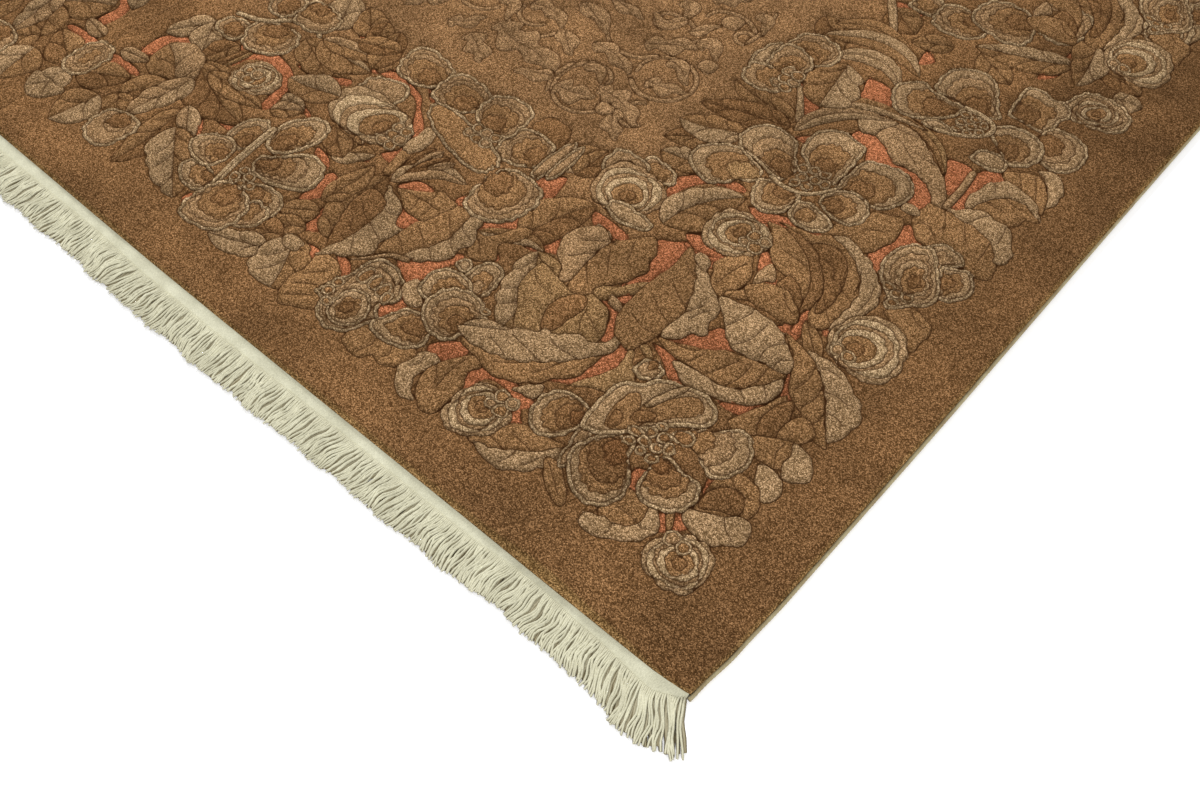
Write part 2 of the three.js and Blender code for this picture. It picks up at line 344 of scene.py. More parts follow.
def side_veins(t, mid, side, wide, notches, toward, length, seed):
    """veins from the midrib towards the notches of one half"""
    for i, stop in enumerate(notches):
        start = max(0.04, stop - 0.1 - 0.09 * wander(seed, 20 + i) - 0.25 * wide.max() / length)
        at = [np.interp(start, t, mid[:, j]) for j in (0, 1)]
        rib = [np.interp(stop, t, mid[:, j]) for j in (0, 1)]
        away = np.array([np.interp(stop, t, side[:, j]) for j in (0, 1)])
        reach = 0.62 + 0.34 * wander(seed, 30 + i)
        end = rib + toward * away * np.interp(stop, t, wide) * reach
        groove(bow(np.array(at), end, -toward * 0.12 * np.hypot(*(end - at)), 9), "vein")


def leaf(base, tip, width, veins, left, right=None, bend=0.0, scallop=1.0, share=0.5, sharp=0.8):
    """a leaf in one or two tones; share is how much of the width lies left of the midrib"""
    base, tip = place(*base), place(*tip)
    t = np.linspace(0, 1, LEAF_POINTS)
    seed = (base[0], tip[1])
    length = np.hypot(*(tip - base))
    along = (tip - base) / length
    across = np.array([-along[1], along[0]])
    hook = length * 0.18 * (wander(seed, 12) - 0.5)
    hooked = across * (hook * np.maximum(0, t - 0.55) ** 2 / 0.2)[:, None]
    mid = bow(base, tip, bend, LEAF_POINTS) + hooked
    side = left_of(mid)
    body = t ** 0.567 * (1 - t) ** sharp
    body = body / body.max()
    count = max(2, round(length / LOBE_LENGTH))
    halves = []
    ends = []
    for k, part in enumerate((share, 1 - share)):
        notches = [(i + 0.5 * (wander(seed, 60 + 9 * k + i) - 0.5) + 0.25 * k) / count
                   for i in range(1, count)]
        notches = [m for m in notches if 0.08 < m < 0.9]
        slow = 1 + 0.1 * np.sin(4.2 * t + phase(seed, 8 + k))
        lobe = lobed(t, [0.0] + notches + [1.0], (seed[0] + k, seed[1]))
        height = (1.0 + 0.75 * scallop) * min(1.0, width * part / 26)
        wide = width * part * body * slow + height * lobe * np.minimum(1, 7 * t * (1 - t))
        wide = np.maximum(wide, 0)
        wide[0] = wide[-1] = 0
        halves.append(wide)
        ends.append(notches)
    left_edge, right_edge = banded(mid, *halves)
    outline = np.vstack([left_edge, right_edge[1:-1]])
    dark_line = (*base, *mid[-1], bend - 0.3 * float((mid[-1] - tip) @ across))
    paint(outline, left, dark_line + (width * share,))
    if right:
        paint(np.vstack([mid, right_edge[1:-1]]), right, dark_line + (width * (1 - share),))
    groove(outline, "deep", closed=True)
    groove(mid[1:-1], "fine")
    for toward, wide, notches in ((1, halves[0], ends[0]), (-1, halves[1], ends[1])):
        if wide.max() >= 9:
            side_veins(t, mid, side, wide, notches[:veins], toward, length, seed)


print("points on a leaf's edge:", 2 * LEAF_POINTS - 2)

# %% [markdown]
# ## Free forms
# Turned leaves and the petals of the large flowers have outlines of their own, so they are drawn
# through a few places each. Scissors leave small scallops along such an edge. A pale petal has a
# raised cord a few millimetres inside its edge, and browner zones drawn in towards the flower's
# heart, each with its own fine groove. A curve object through the same places could be turned into
# a mesh, but its points would have to be read back for the carving.

# %% Free form
def outward(outline):
    """the direction away from a closed outline's inside, at each point"""
    step = unit(np.roll(outline, -1, axis=0) - np.roll(outline, 1, axis=0))
    x, y = outline.T
    area = (x * np.roll(y, -1) - np.roll(x, -1) * y).sum()
    return np.column_stack([step[:, 1], -step[:, 0]]) * (1 if area > 0 else -1)


def scallops(turn, count, seed, slow, quick):
    """uneven bumps round an outline, from about -0.6 to 0.4; slow and quick shift them"""
    drift = slow * np.sin(turn + phase(seed, 4)) + quick * np.sin(2 * turn + phase(seed, 6))
    wave = np.abs(np.sin(count * turn / 2 + 3.14 * wander(seed, 3) + drift)) ** 0.7 - 0.62
    return wave * (1 + 0.45 * np.sin(2 * turn + phase(seed, 7)))


def ruffles(outline, bump, seed):
    """scallops of about one length along a closed outline"""
    leg = np.hypot(*(np.roll(outline, -1, axis=0) - outline).T)
    turn = 2 * math.pi * np.concatenate([[0], np.cumsum(leg)[:-1]]) / leg.sum()
    return scallops(turn, max(2, round(leg.sum() / bump)), seed, 0.8, 0.7)


def drawn_to(points, heart, share):
    """an outline made smaller towards one point"""
    return heart + (points - heart) * share


def corded(outline, inner, tone, edge="deep"):
    """a shape with a pale cord between its outline and an inner line"""
    paint(outline, tone)
    paint(np.vstack([outline, outline[:1], inner, inner[:1]]), "rim")
    groove(outline, edge, closed=True)
    groove(inner, "fine", closed=True)


def form(points, tone, rim=0.0, heart=None, ruffle=2.2, bump=20.0, edge="deep", **zones):
    """a free form through a few places; each zone is a tone with its share of the whole form"""
    first = pairs(points)[0]
    base = closed_through(points)
    away = outward(base)
    wave = ruffles(base, bump, first)[:, None]
    outline = base + away * ruffle * wave
    if rim:
        corded(outline, base + away * (ruffle * wave * 0.8 - rim), tone, edge)
    else:
        filled(outline, tone, edge)
    for k, (zone, share) in enumerate(zones.items()):
        wobble = ruffles(base, bump * 0.9 / share, first + (5 * k + 2, 0))[:, None]
        spot = drawn_to(base + away * (wobble * 4.0 / share - rim), place(*heart), share)
        filled(spot, zone, "vein" if k == len(zones) - 1 else "fine")


def pale_petal(points, heart, rim=5, bump=20.0, **zones):
    form(points, "light", rim, heart, bump=bump, **zones)


def forms_and_veins(forms, veins):
    """a group of turned leaves, and the veins over them"""
    for tone, ruffle, *points in forms:
        form(points, tone, ruffle=ruffle, bump=24)
    for points in veins:
        crease(points, "vein")


print("zones of a petal share its heart:", drawn_to(np.array((10, 0)), np.array((0, 0)), 0.5))

# %% [markdown]
# ## Petals, cells and roses
# The smaller flowers are made of rounded petals, each a pale cord round a brown core that opens
# from the heart of the flower. The heart is a bunch of small corded cells. A rose is a set of
# ruffled rounds, one in the other, drawn close on one side, with a few cells on the other. Plain
# ellipses would be simpler, but no knotted petal is round, so a slow random wave shapes each rim.

# %% Rounded outline and petal
PETAL_RIM = 5.0
WIDE_PETAL = 30.0       # half width from which a petal has a second fine line


def rounded(centre, half, turn=0.0, ruffle=2.0, bump=26.0, seed=None, grow=0.0, square=2.3):
    """closed wavy outline of a rounded form, with bumps like a petal's rim"""
    seed = centre if seed is None else seed
    wide, long = half[0] + grow, half[1] + grow
    t = np.linspace(0, 2 * math.pi, max(32, int((half[0] + half[1]) * 1.6)), endpoint=False)
    radius = (np.abs(np.cos(t)) ** square + np.abs(np.sin(t)) ** square) ** (-1 / square)
    radius = radius * (1 + 0.05 * np.sin(2 * t + phase(seed, 1)) + 0.05 * np.sin(3 * t + phase(seed, 2)))
    around = np.column_stack([wide * radius * np.cos(t), long * radius * np.sin(t)])
    wave = scallops(t, max(3, round(math.pi * (half[0] + half[1]) / bump)), seed, 0.9, 0.6)
    around = around * (1 + ruffle * wave / np.maximum(np.hypot(*around.T), 4))[:, None]
    return centre + turned(around, turn)


def turned(points, degrees):
    a = math.radians(degrees)
    return points @ np.array([[math.cos(a), math.sin(a)], [-math.sin(a), math.cos(a)]])


def petal(at, half, toward=None, turn=0.0, rim=PETAL_RIM, tone="taupe", core="tan", deep="dark",
          size=0.76, ruffle=3.3):
    """a petal with a cord and a core; toward is the flower's heart, size the core's share"""
    centre = place(*at)
    outline = rounded(centre, half, turn, ruffle, bump=21, square=2.7)
    if not rim:
        filled(outline, tone)
        return
    corded(outline, rounded(centre, half, turn, ruffle, bump=21, grow=-rim, square=2.7), tone)
    if not core:
        return
    if toward is None:
        pull, off_centre = np.array([wander(at, 5) - 0.5, wander(at, 6) - 0.5]), 0.35
    else:
        pull, off_centre = place(*toward) - centre, 0.9
    pull = pull / max(np.hypot(*pull), 1e-6)
    heart = centre + pull * ((outline - centre) @ pull).max() * off_centre
    zones = [(size, core, "fine", 19), (size * 0.62, deep, "vein", 15)]
    for k, (share, zone, depth, bump) in enumerate(zones):
        if zone:
            seed = (at[0] + 3 + 11 * k, at[1] - 5)
            wavy = rounded(centre, half, turn, 4.6 / share, bump / share, seed, -rim, 2.4)
            filled(drawn_to(wavy, heart, share), zone, depth)
    if min(half) > WIDE_PETAL:
        band = rounded(centre, half, turn, 3.5, 16, (at[0] - 9, at[1] + 4), -rim)
        band = drawn_to(band, heart, size + 0.13)
        count = len(band)
        away = np.argmin((band - centre) @ pull)
        groove(np.roll(band, count // 2 - away, axis=0)[count // 4: count - count // 4], "vein")


def bud(at, half, toward=None):
    petal(at, half, toward, core="dark", deep=None, size=0.5, ruffle=2.6)


print("points round a petal:", len(rounded((0, 0), (15, 20))))

# %% Cells and roses
CELL_RADIUS = 9.3
CELL_STEP = 14.88


def cell(spot, half, turn, core, ring_wave, core_wave, ring_bump, core_bump, square, cord):
    """a pale cord round a brown core"""
    ring = rounded(spot, half, turn[0], ring_wave, ring_bump, square=square)
    inner = rounded(spot, (half[0] - cord, half[1] - cord), turn[1], core_wave, core_bump, square=square)
    filled(ring, "rim", "fine")
    filled(inner, core, "vein")


def cells(at, half):
    """the heart of a flower, filled with rows of cells"""
    rows = max(1, int(round(half[1] * 2 / CELL_STEP)))
    for j in range(rows):
        y = (j - (rows - 1) / 2) * CELL_STEP
        reach = half[0] * math.sqrt(max(0.15, 1 - (y / (half[1] + 6)) ** 2))
        count = max(1, int(round(2 * reach / CELL_STEP)))
        for i in range(count):
            x = (i - (count - 1) / 2) * CELL_STEP + (0.25 * CELL_STEP if j % 2 else 0)
            spot = place(*at) + (x, y)
            spot = spot + 1.5 * np.array([wander(spot, 1) - 0.5, wander(spot, 2) - 0.5])
            swell = CELL_RADIUS * (0.88 + 0.3 * wander(spot, 3))
            core = "tan" if (i + j) % 2 else "taupe"
            cell(spot, (swell, swell * 0.94), (0, 0), core, 0.9, 0.6, 14, 10, 2.0, 3.2)


def cluster(spots):
    """single cells of a flower's heart: place and half sizes of each"""
    for a, b, wide, long in np.reshape(spots, (-1, 4)):
        core = "tan" if wander((a, b), 2) > 0.4 else "dark"
        cell(place(a, b), (wide, long), (40 * wander((a, b), 1), 0), core, 1.4, 1.0, 13, 9, 2.2, 3.3)


# from the outside in: share of the size, tone, groove, ruffle and its length
ROSE_ROUNDS = [(1.0, "light", "deep", 3.2, 24), (0.86, "rim", "fine", 2.6, 22),
               (0.71, "taupe", "fine", 2.4, 20), (0.6, "rim", "fine", 2.2, 18),
               (0.42, "tan", "fine", 1.8, 13), (0.22, "dark", "vein", 1.2, 10)]


def rose(at, half, heart=(0, 0), bunch=None, outer=None):
    """rounds about an off-centre heart; bunch: the cells' place from the centre and half size"""
    centre = place(*at)
    off = np.array([-heart[0], heart[1]], float)
    if bunch:
        toward = np.array([-bunch[0], bunch[1]], float)
        off = off + toward / max(np.hypot(*toward), 1) * min(half) * 0.14
    for k, (share, tone, depth, ruffle, bump) in enumerate(ROSE_ROUNDS):
        middle = centre + off * (1 - share) / 0.71
        size = (half[0] * share, half[1] * share)
        outline = rounded(middle, size, 14 * k, ruffle, bump, (at[0] + k // 2, at[1]))
        filled(outline, outer if outer and k == 0 else tone, depth)
    if bunch:
        cells((at[0] + bunch[0], at[1] + bunch[1]), bunch[2:])


print("rounds in a rose:", len(ROSE_ROUNDS))

# %% [markdown]
# ## Stems and blades
# Cords, stems and scrolls are bands that thin out towards their tip. A blade is a long curved leaf
# with a midrib and no side veins. Both follow a smooth curve through a few places. A curve object's
# bevel would make a band too, but not the outline that the carving needs.

# %% Stem and blade
def ribbon(points, width, tone, taper=0.3):
    """a stem, cord or scroll; taper is the share of its width that is left at the tip"""
    curve = through(points, 10)
    t = np.linspace(0, 1, len(curve))
    half = width / 2 * (1 - (1 - taper) * t ** 1.5)
    half = np.minimum(half, width * 0.9 * np.sqrt(np.maximum(t * len(curve) / 12 + 0.12, 0)))
    half[-1] = 0.3
    filled(np.vstack(banded(curve, half, half)), tone)


def blade(points, width, left, right=None, scallop=0.0):
    """a long leaf in two tones along a smooth curve"""
    curve = through(points, 9)
    t = np.linspace(0, 1, len(curve))
    count = max(2, round(len(curve) / 5))
    half = width / 2 * np.sin(math.pi * t ** 0.85) ** 0.75
    lobes = np.abs(np.sin(count * math.pi * t)) ** 0.7 - 0.35
    half = half + scallop * lobes * np.minimum(1, 5 * t * (1 - t))
    half = np.maximum(half, 0)
    half[0] = half[-1] = 0
    left_edge, right_edge = banded(curve, half, half)
    outline = np.vstack([left_edge, right_edge[1:-1]])
    paint(outline, left)
    if right:
        paint(np.vstack([curve, right_edge[1:-1]]), right)
    groove(outline, "deep", closed=True)
    groove(curve[1:-1], "fine")


tally()

# %% [markdown]
# ## The field's scrollwork
# The plain field inside the wreath is covered with low scrolls and lobed leaves, carved in wool
# that is hardly paler than its ground. Only a small part of it can be seen, so that part is drawn
# once and moved over the field. It comes first, because the wreath lies over its edge.

# %% Scrolls of the field
SCROLL_STEP = 30.0      # degrees between two places on a scroll
SCROLL_CLOSES = 0.12    # how much narrower a scroll's circle is at its tip
CORD_WIDTH = 8


def scroll(centre, radii, start, stop):
    """a raised cord bent round a centre, from one angle to another"""
    count = max(4, int(abs(stop - start) / SCROLL_STEP) + 1)
    points = []
    for k in range(count + 1):
        angle = math.radians(start + (stop - start) * k / count)
        curl = 1 - SCROLL_CLOSES * k / count
        inward = centre[0] - radii[0] * curl * math.cos(angle)
        up = centre[1] + radii[1] * curl * math.sin(angle)
        points.append((inward, up))
    ribbon(points, CORD_WIDTH, "field", taper=0.75)


def acanthus(points, width, lobes):
    """a lobed leaf of the scrollwork along a smooth curve"""
    curve = through(points, 14)
    t = np.linspace(0, 1, len(curve))
    seed = pairs(points)[0]
    halves = []
    for k in range(2):
        u = (max(lobes - 1, 1) * t ** 0.9 + 0.35 * k + 0.3 * wander(seed, 5)) % 1
        lobe = np.sin(math.pi * u ** 1.7) ** 0.9
        uneven = 1 + 0.3 * (wander(seed, k) - 0.5)
        halves.append(width / 2 * np.sin(math.pi * t ** 0.7) ** 0.6 * (0.4 + 0.6 * lobe) * uneven)
        halves[k][0] = halves[k][-1] = 0
    left_edge, right_edge = banded(curve, *halves)
    outline = np.vstack([left_edge, right_edge[1:-1]])
    filled(outline, "field", "fine", (*curve[0], *curve[-1], 0, width * 0.4))
    groove(curve[2: int(len(curve) * 0.7)], "soft")


# centre, radii, and the angles where each scroll starts and stops
FIELD_SCROLLS = [
    ((590,655), (47,46), -140, 205), ((655,572), (50,54), 120, 345), ((664,596), (26,22), 150, -40),
    ((590,796), (42,30), -10, 190), ((556,790), (16,14), 60, 300), ((650,748), (34,22), 10, 260),
    ((806,636), (48,42), 190, 350), ((812,640), (28,26), 170, 340), ((572,575), (22,26), 100, 330),
    ((900,630), (44,40), 250, 340),
]
FIELD_STEMS = [
    (624,684, 650,660, 690,660, 712,676), (549,782, 547,820, 556,866), (612,694, 610,730, 600,752),
    (704,600, 708,560, 694,530),
]
# width, lobes and middle line of each leaf
FIELD_LEAVES = [
    (66, 4, 842,592, 800,578, 752,578, 702,556), (46, 3, 856,548, 826,534, 802,512),
    (34, 2, 706,560, 735,545, 756,530), (30, 2, 608,688, 582,682, 556,662),
    (36, 3, 606,634, 578,640, 548,652), (24, 2, 692,604, 668,606, 646,588),
    (46, 3, 694,548, 664,552, 636,566), (52, 4, 644,582, 604,580, 556,556),
    (36, 3, 604,566, 584,538, 560,520), (46, 3, 656,690, 622,716, 590,738),
    (32, 2, 604,742, 582,748, 556,728), (38, 2, 780,704, 744,690, 704,672),
    (36, 3, 712,648, 668,646, 628,628), (34, 3, 770,742, 728,734, 688,730),
    (32, 2, 672,802, 656,790, 642,762), (34, 3, 642,826, 622,848, 600,864),
    (30, 2, 572,850, 556,838, 540,812), (24, 2, 626,750, 610,768, 598,792),
    (34, 3, 900,548, 878,562, 862,590), (38, 3, 836,652, 800,660, 762,640),
    (30, 2, 880,640, 852,628, 836,600), (34, 2, 760,640, 736,620, 716,606),
    (38, 3, 930,580, 960,560, 972,530), (30, 2, 640,770, 664,742, 690,752),
    (22, 1, 556,716, 560,704, 548,700),
]
# place and half width of each berry
FIELD_BERRIES = [(590, 806, 15), (560, 712, 13), (612, 556, 12)]
# how far the scrollwork is moved, in and up
FIELD_REPEATS = [(0,0), (0,420), (330,210), (330,630)]

for inward, up in FIELD_REPEATS:
    for centre, radii, start, stop in FIELD_SCROLLS:
        scroll((centre[0] + inward, centre[1] + up), radii, start, stop)
    for points in FIELD_STEMS:
        ribbon(pairs(points) + (inward, up), CORD_WIDTH, "field", taper=0.7)
    for width, lobes, *points in FIELD_LEAVES:
        acanthus(pairs(points) + (inward, up), width, lobes)
    for a, b, size in FIELD_BERRIES:
        petal((a + inward, b + up), (size, size), rim=0, tone="field", ruffle=1.5)
tally()

# %% [markdown]
# ## Coral between the forms
# Between the leaves of the wreath a coral wool shows, clipped lowest of all. One large coral shape
# under the whole wreath would show at its border too, so each gap is a small patch of its own. They
# are painted before the forms, which cover their edges.

# %% Coral gaps
def gap(points):
    filled(closed_through(points, 6), "coral")


GAPS_CORNER = [
    (410,424, 392,436, 376,452, 360,458, 340,454, 320,450, 330,430, 346,434, 366,434, 366,400, 370,360,
     396,342, 396,360, 390,380, 398,400),
    (396,345, 370,340, 368,325, 386,320),
    (300,312, 302,324, 278,345, 264,368, 234,353, 250,332, 270,326),
    (312,298, 270,297, 246,276, 262,268, 285,284),
    (172,388, 158,372, 150,345, 136,344, 160,318, 150,300, 176,282, 202,282, 176,306, 156,332, 164,356),
    (346,272, 336,278, 320,268, 316,242, 326,218, 336,196, 352,186, 368,178, 352,206, 346,240),
    (442,146, 400,152, 372,150, 352,142, 362,128, 346,112, 366,108, 382,135, 420,135, 430,108, 446,112),
    (450,306, 446,272, 434,270, 428,292),
    (408,308, 390,304, 374,294, 362,262, 348,268, 352,284, 366,298, 372,310),
    (216,414, 206,440, 194,452, 188,410, 204,406),
    (148,200, 122,200, 116,186, 138,174),
    (216,152, 204,160, 196,142, 200,124, 208,130),
    (160,140, 146,146, 126,134, 134,120, 152,106, 158,120),
    (484,410, 448,406, 450,388, 462,384, 484,396),
    (380,440, 372,462, 330,472, 300,462, 340,440),
]
GAPS_SIDE = [
    (332,746, 312,751, 292,744, 276,734, 262,726, 246,728, 230,727, 214,722, 200,712, 186,697, 188,684,
     194,676, 212,676, 222,702, 236,720, 262,712, 292,702, 306,722, 334,730),
    (388,680, 372,698, 368,680),
    (214,778, 180,780, 178,730, 184,724, 200,744, 208,758),
    (174,780, 156,800, 143,800, 132,788, 146,778, 153,774, 154,757, 159,743, 155,722, 148,712, 169,697,
     174,720),
    (196,642, 186,650, 176,642, 158,630, 172,613, 177,598, 177,582, 172,567, 166,551, 182,554, 194,564,
     202,577, 197,593, 192,608, 194,624),
    (302,500, 278,490, 280,460, 294,476),
    (268,466, 250,464, 260,450),
    (178,450, 166,454, 150,474, 146,462, 156,446, 168,436),
    (206,454, 188,454, 184,424, 202,418),
    (462,520, 440,545, 410,563, 385,566, 378,556, 410,546, 430,530, 442,500, 430,460, 446,470, 458,505),
    (360,542, 330,553, 290,565, 258,560, 300,545, 330,530),
    (326,532, 300,496, 296,515, 312,534),
    (390,456, 355,442, 316,466, 338,476),
    (380,838, 342,838, 326,805, 352,798, 372,780, 396,756, 388,792, 372,806),
    (452,768, 440,768, 416,722, 398,716, 398,748, 420,752),
]
GAPS_END = [
    (566,430, 592,402, 572,376, 565,350, 578,322, 604,302, 592,288, 568,300, 550,330, 550,365, 556,400),
    (548,314, 508,352, 494,366, 488,345, 466,325, 500,316, 520,308),
    (500,410, 450,408, 436,396, 480,388),
    (562,286, 535,274, 545,260, 566,278),
    (590,240, 574,250, 566,240, 574,226, 583,208, 584,186, 594,174, 606,178, 630,190, 624,202, 602,212,
     596,226),
    (600,160, 574,154, 566,142, 572,118, 580,106, 596,124),
    (506,128, 486,150, 466,152, 462,124, 482,116, 500,116),
    (692,150, 668,150, 652,130, 664,120, 676,136),
    (738,136, 706,138, 698,108, 716,112, 732,124),
    (762,192, 740,188, 730,164, 756,148, 758,170),
    (802,238, 784,234, 778,200, 798,180, 802,210),
    (778,214, 764,214, 766,200, 778,200),
    (848,258, 820,252, 808,236, 840,244),
    (686,260, 652,258, 654,234, 668,222, 682,236),
    (720,278, 704,302, 676,302, 680,290, 700,280),
    (642,322, 624,320, 630,300, 646,308),
    (768,352, 756,320, 752,300, 778,303, 766,322),
    (880,425, 820,416, 798,396, 768,372, 762,346, 790,374, 820,405, 880,412),
    (818,432, 788,426, 798,414),
    (798,302, 778,284, 786,278, 798,288),
    (742,314, 728,306, 732,288),
    (1050,340, 1000,338, 970,322, 960,300, 952,262, 966,258, 975,290, 985,305, 1020,322, 1048,310, 1056,285,
     1066,300),
    (990,345, 960,342, 930,352, 905,362, 912,374, 940,360, 975,352),
    (972,318, 920,292, 900,285, 905,294, 960,306),
    (1060,212, 1020,205, 960,200, 958,212, 1000,206, 1030,214),
    (1056,206, 1010,196, 984,172, 980,150, 992,155, 1004,176, 1036,196),
    (1086,335, 1068,340, 1066,315, 1078,318),
    (1180,262, 1150,288, 1132,280, 1160,262, 1160,225, 1178,222),
    (1204,196, 1150,196, 1140,186, 1176,180, 1188,168, 1200,180),
    (908,410, 896,402, 880,424, 846,420, 850,410, 884,408),
    (908,98, 896,88, 900,78, 912,84),
    (985,452, 966,440, 962,450, 975,458),
]
for points in GAPS_CORNER + GAPS_SIDE + GAPS_END:
    gap(points)
tally()

# %% [markdown]
# ## The wreath, from the inside out
# Leaves and flowers overlap like roof tiles. The ones towards the field lie lowest, then the
# fringed end, the corner and the long side. Each flower is drawn after the leaves that come out
# from under it. The forms could be cut to fit each other, but laying them one on another is how a
# weaver's chart is painted too.

# %% Where the wreath meets the field at the corner
leaf((440,560), (506,545), 46, 2, "tan", "light")
leaf((440,620), (522,572), 44, 2, "tan", "dark")
leaf((440,640), (522,602), 52, 2, "light", "tan")
leaf((405,702), (516,710), 42, 2, "tan")
leaf((404,690), (524,655), 48, 3, "dark")
ribbon((400,704, 420,734, 444,766), 12, "light", taper=0.6)
leaf((600,440), (544,496), 50, 1, "tan", "light")
petal((634,475), (28,24), rim=0, tone="dark", core=None)
leaf((560,440), (555,500), 40, 1, "tan", "dark")
petal((485,512), (28,20), deep=None)
petal((520,490), (30,30), (490,460), deep=None)
rose((492,464), (46,44), heart=(-6,-8), outer="taupe")
petal((462,430), (36,14), tone="light", core=None)
leaf((1000,430), (1042,498), 56, 2, "light")
leaf((956,452), (1002,494), 48, 1, "tan")
leaf((940,440), (960,490), 40, 1, "dark", "tan")
tally()

# %% Leaves along the fringed end
leaf((430,302), (480,398), 62, 3, "light", bend=-4, scallop=1.5)
leaf((542,316), (512,420), 68, 2, "tan", "dark")
blade((590,286, 560,304, 528,320, 500,318), 24, "tan", "light")
leaf((502,318), (440,252), 58, 2, "tan", "dark")
leaf((508,314), (450,200), 70, 3, "olive", "light", bend=6, scallop=2.5, sharp=0.6)
leaf((718,158), (742,280), 66, 2, "tan", "dark", bend=6)
leaf((772,196), (760,282), 36, 1, "tan")
leaf((830,262), (780,298), 42, 1, "tan", "light")
leaf((860,300), (810,262), 44, 1, "tan", "dark")
leaf((760,182), (804,152), 36, 0, "tan")
leaf((752,152), (806,122), 36, 1, "tan")
leaf((764,124), (846,96), 50, 2, "tan", "dark")
leaf((762,98), (838,64), 40, 2, "light", scallop=2.5)
leaf((750,136), (708,62), 78, 3, "tan", "light", share=0.42, scallop=3, sharp=0.5)
petal((746,125), (15,10), rim=0, tone="light")
tally()

# %% Turned leaves between the end's large flowers
# tone, depth of the scallops, outline
END_FORMS = [
    ("light", 2.2, 512,93, 503,114, 484,120, 475,106, 486,88, 477,68, 463,58, 478,51, 497,61, 509,76),
    ("tan", 2.0, 586,102, 593,74, 583,60, 570,57, 552,59, 545,71, 530,67, 515,74, 509,88, 506,106,
     520,110, 536,99, 550,94, 565,99),
    ("tan", 1.6, 590,290, 574,288, 562,305, 552,326, 536,334, 534,314, 544,301, 551,288, 538,270,
     550,255, 566,251, 579,262, 587,276),
    ("tan", 2.0, 711,135, 694,142, 672,137, 661,122, 662,100, 652,84, 646,72, 664,61, 687,51, 701,65,
     707,88, 704,112),
    ("dark", 1.6, 740,252, 718,252, 703,243, 699,224, 697,198, 699,172, 706,146, 718,160, 732,190,
     742,220),
    ("light", 2.6, 726,270, 704,262, 686,255, 680,239, 669,229, 656,231, 660,214, 665,193, 657,180,
     667,165, 680,154, 699,141, 712,131, 708,150, 701,172, 699,198, 700,224, 704,243, 717,253),
    ("tan", 1.8, 637,303, 608,302, 605,277, 603,259, 606,243, 614,225, 623,207, 632,198, 644,193,
     656,181, 662,198, 659,220, 657,246, 651,259, 645,277, 640,290),
    ("light", 2.4, 610,304, 594,304, 588,290, 580,277, 576,264, 583,252, 581,240, 584,228, 595,218,
     602,210, 613,202, 626,198, 627,208, 616,226, 608,244, 605,259, 607,277),
    ("tan", 1.8, 717,275, 702,282, 694,287, 681,295, 667,307, 653,306, 637,302, 643,277, 649,256,
     667,254, 681,254, 694,261, 704,267),
]
END_VEINS = [
    (560,92, 556,80, 560,70), (536,94, 530,84, 534,76), (498,110, 494,98, 500,88),
    (576,280, 566,270, 556,262), (679,122, 688,112, 696,102), (672,100, 684,92, 696,82),
    (664,84, 676,76, 688,66), (699,211, 684,204, 668,198), (700,185, 690,174, 683,164),
    (704,240, 692,236, 682,240), (719,200, 712,190, 704,186), (728,226, 716,216, 704,212),
    (606,262, 596,250, 586,244), (612,228, 604,224, 598,218), (608,284, 600,276, 584,272),
    (632,285, 622,274, 610,264), (650,246, 634,238, 618,226), (656,218, 646,214, 634,204),
    (714,275, 681,280, 650,281), (673,282, 668,292, 670,300), (683,279, 676,268, 676,258),
    (662,282, 657,270, 659,260),
]
forms_and_veins(END_FORMS, END_VEINS)
ribbon((616,200, 640,190, 655,172, 673,153), 8, "taupe")
tally()

# %% Rose at the end
pale_petal((651,172, 636,182, 620,182, 603,176, 592,168, 581,152, 582,140, 591,130, 587,119, 577,109,
    585,92, 590,76, 600,69, 615,61, 633,65, 647,74, 655,88, 669,92, 666,106, 664,122, 658,130, 655,146),
    (619,100), bump=24, taupe=0.88, light=0.66)
pale_petal((640,106, 636,122, 616,130, 598,118, 590,98, 598,80, 618,72, 636,82), (620,98), rim=4, tan=0.68,
    dark=0.4)
form((634,176, 618,178, 602,170, 600,162, 618,168, 636,168), "light", ruffle=1.2)
cluster((638,148,9,14, 621,148,8,14, 605,146,8,13, 594,140,7,10, 656,119,8,8, 656,103,8,8, 645,90,8,7))
tally()

# %% Small flower over the end's leaves
ribbon((756,356, 752,318, 744,280), 18, "tan", taper=0.8)
blade((731,276, 722,308, 694,332, 652,336), 34, "light", "taupe")
form((594,176, 586,186, 570,174, 554,160, 562,150, 578,152, 592,164), "light", ruffle=1.6)
form((571,232, 568,246, 558,249, 550,240, 552,228), "light", rim=4, ruffle=1.4, bump=14)
pale_petal((546,216, 549,240, 544,258, 530,267, 516,262, 508,244, 506,220, 520,208), (522,212), tan=0.74,
    taupe=0.42)
pale_petal((556,170, 576,174, 584,196, 578,216, 562,226, 540,226, 522,214, 530,196), (530,196), tan=0.74,
    dark=0.42)
pale_petal((582,100, 574,128, 564,146, 542,152, 520,142, 510,124, 516,106, 534,96, 558,92), (524,142),
    tan=0.78, dark=0.5)
pale_petal((557,172, 552,196, 536,210, 514,214, 496,208, 484,192, 486,164, 494,142, 516,136, 538,144,
    552,158), (496,166), taupe=0.8, tan=0.6, dark=0.34)
cluster((482,190,8,7, 478,176,7,6, 490,202,7,6))
leaf((497,172), (428,204), 26, 0, "light")
tally()

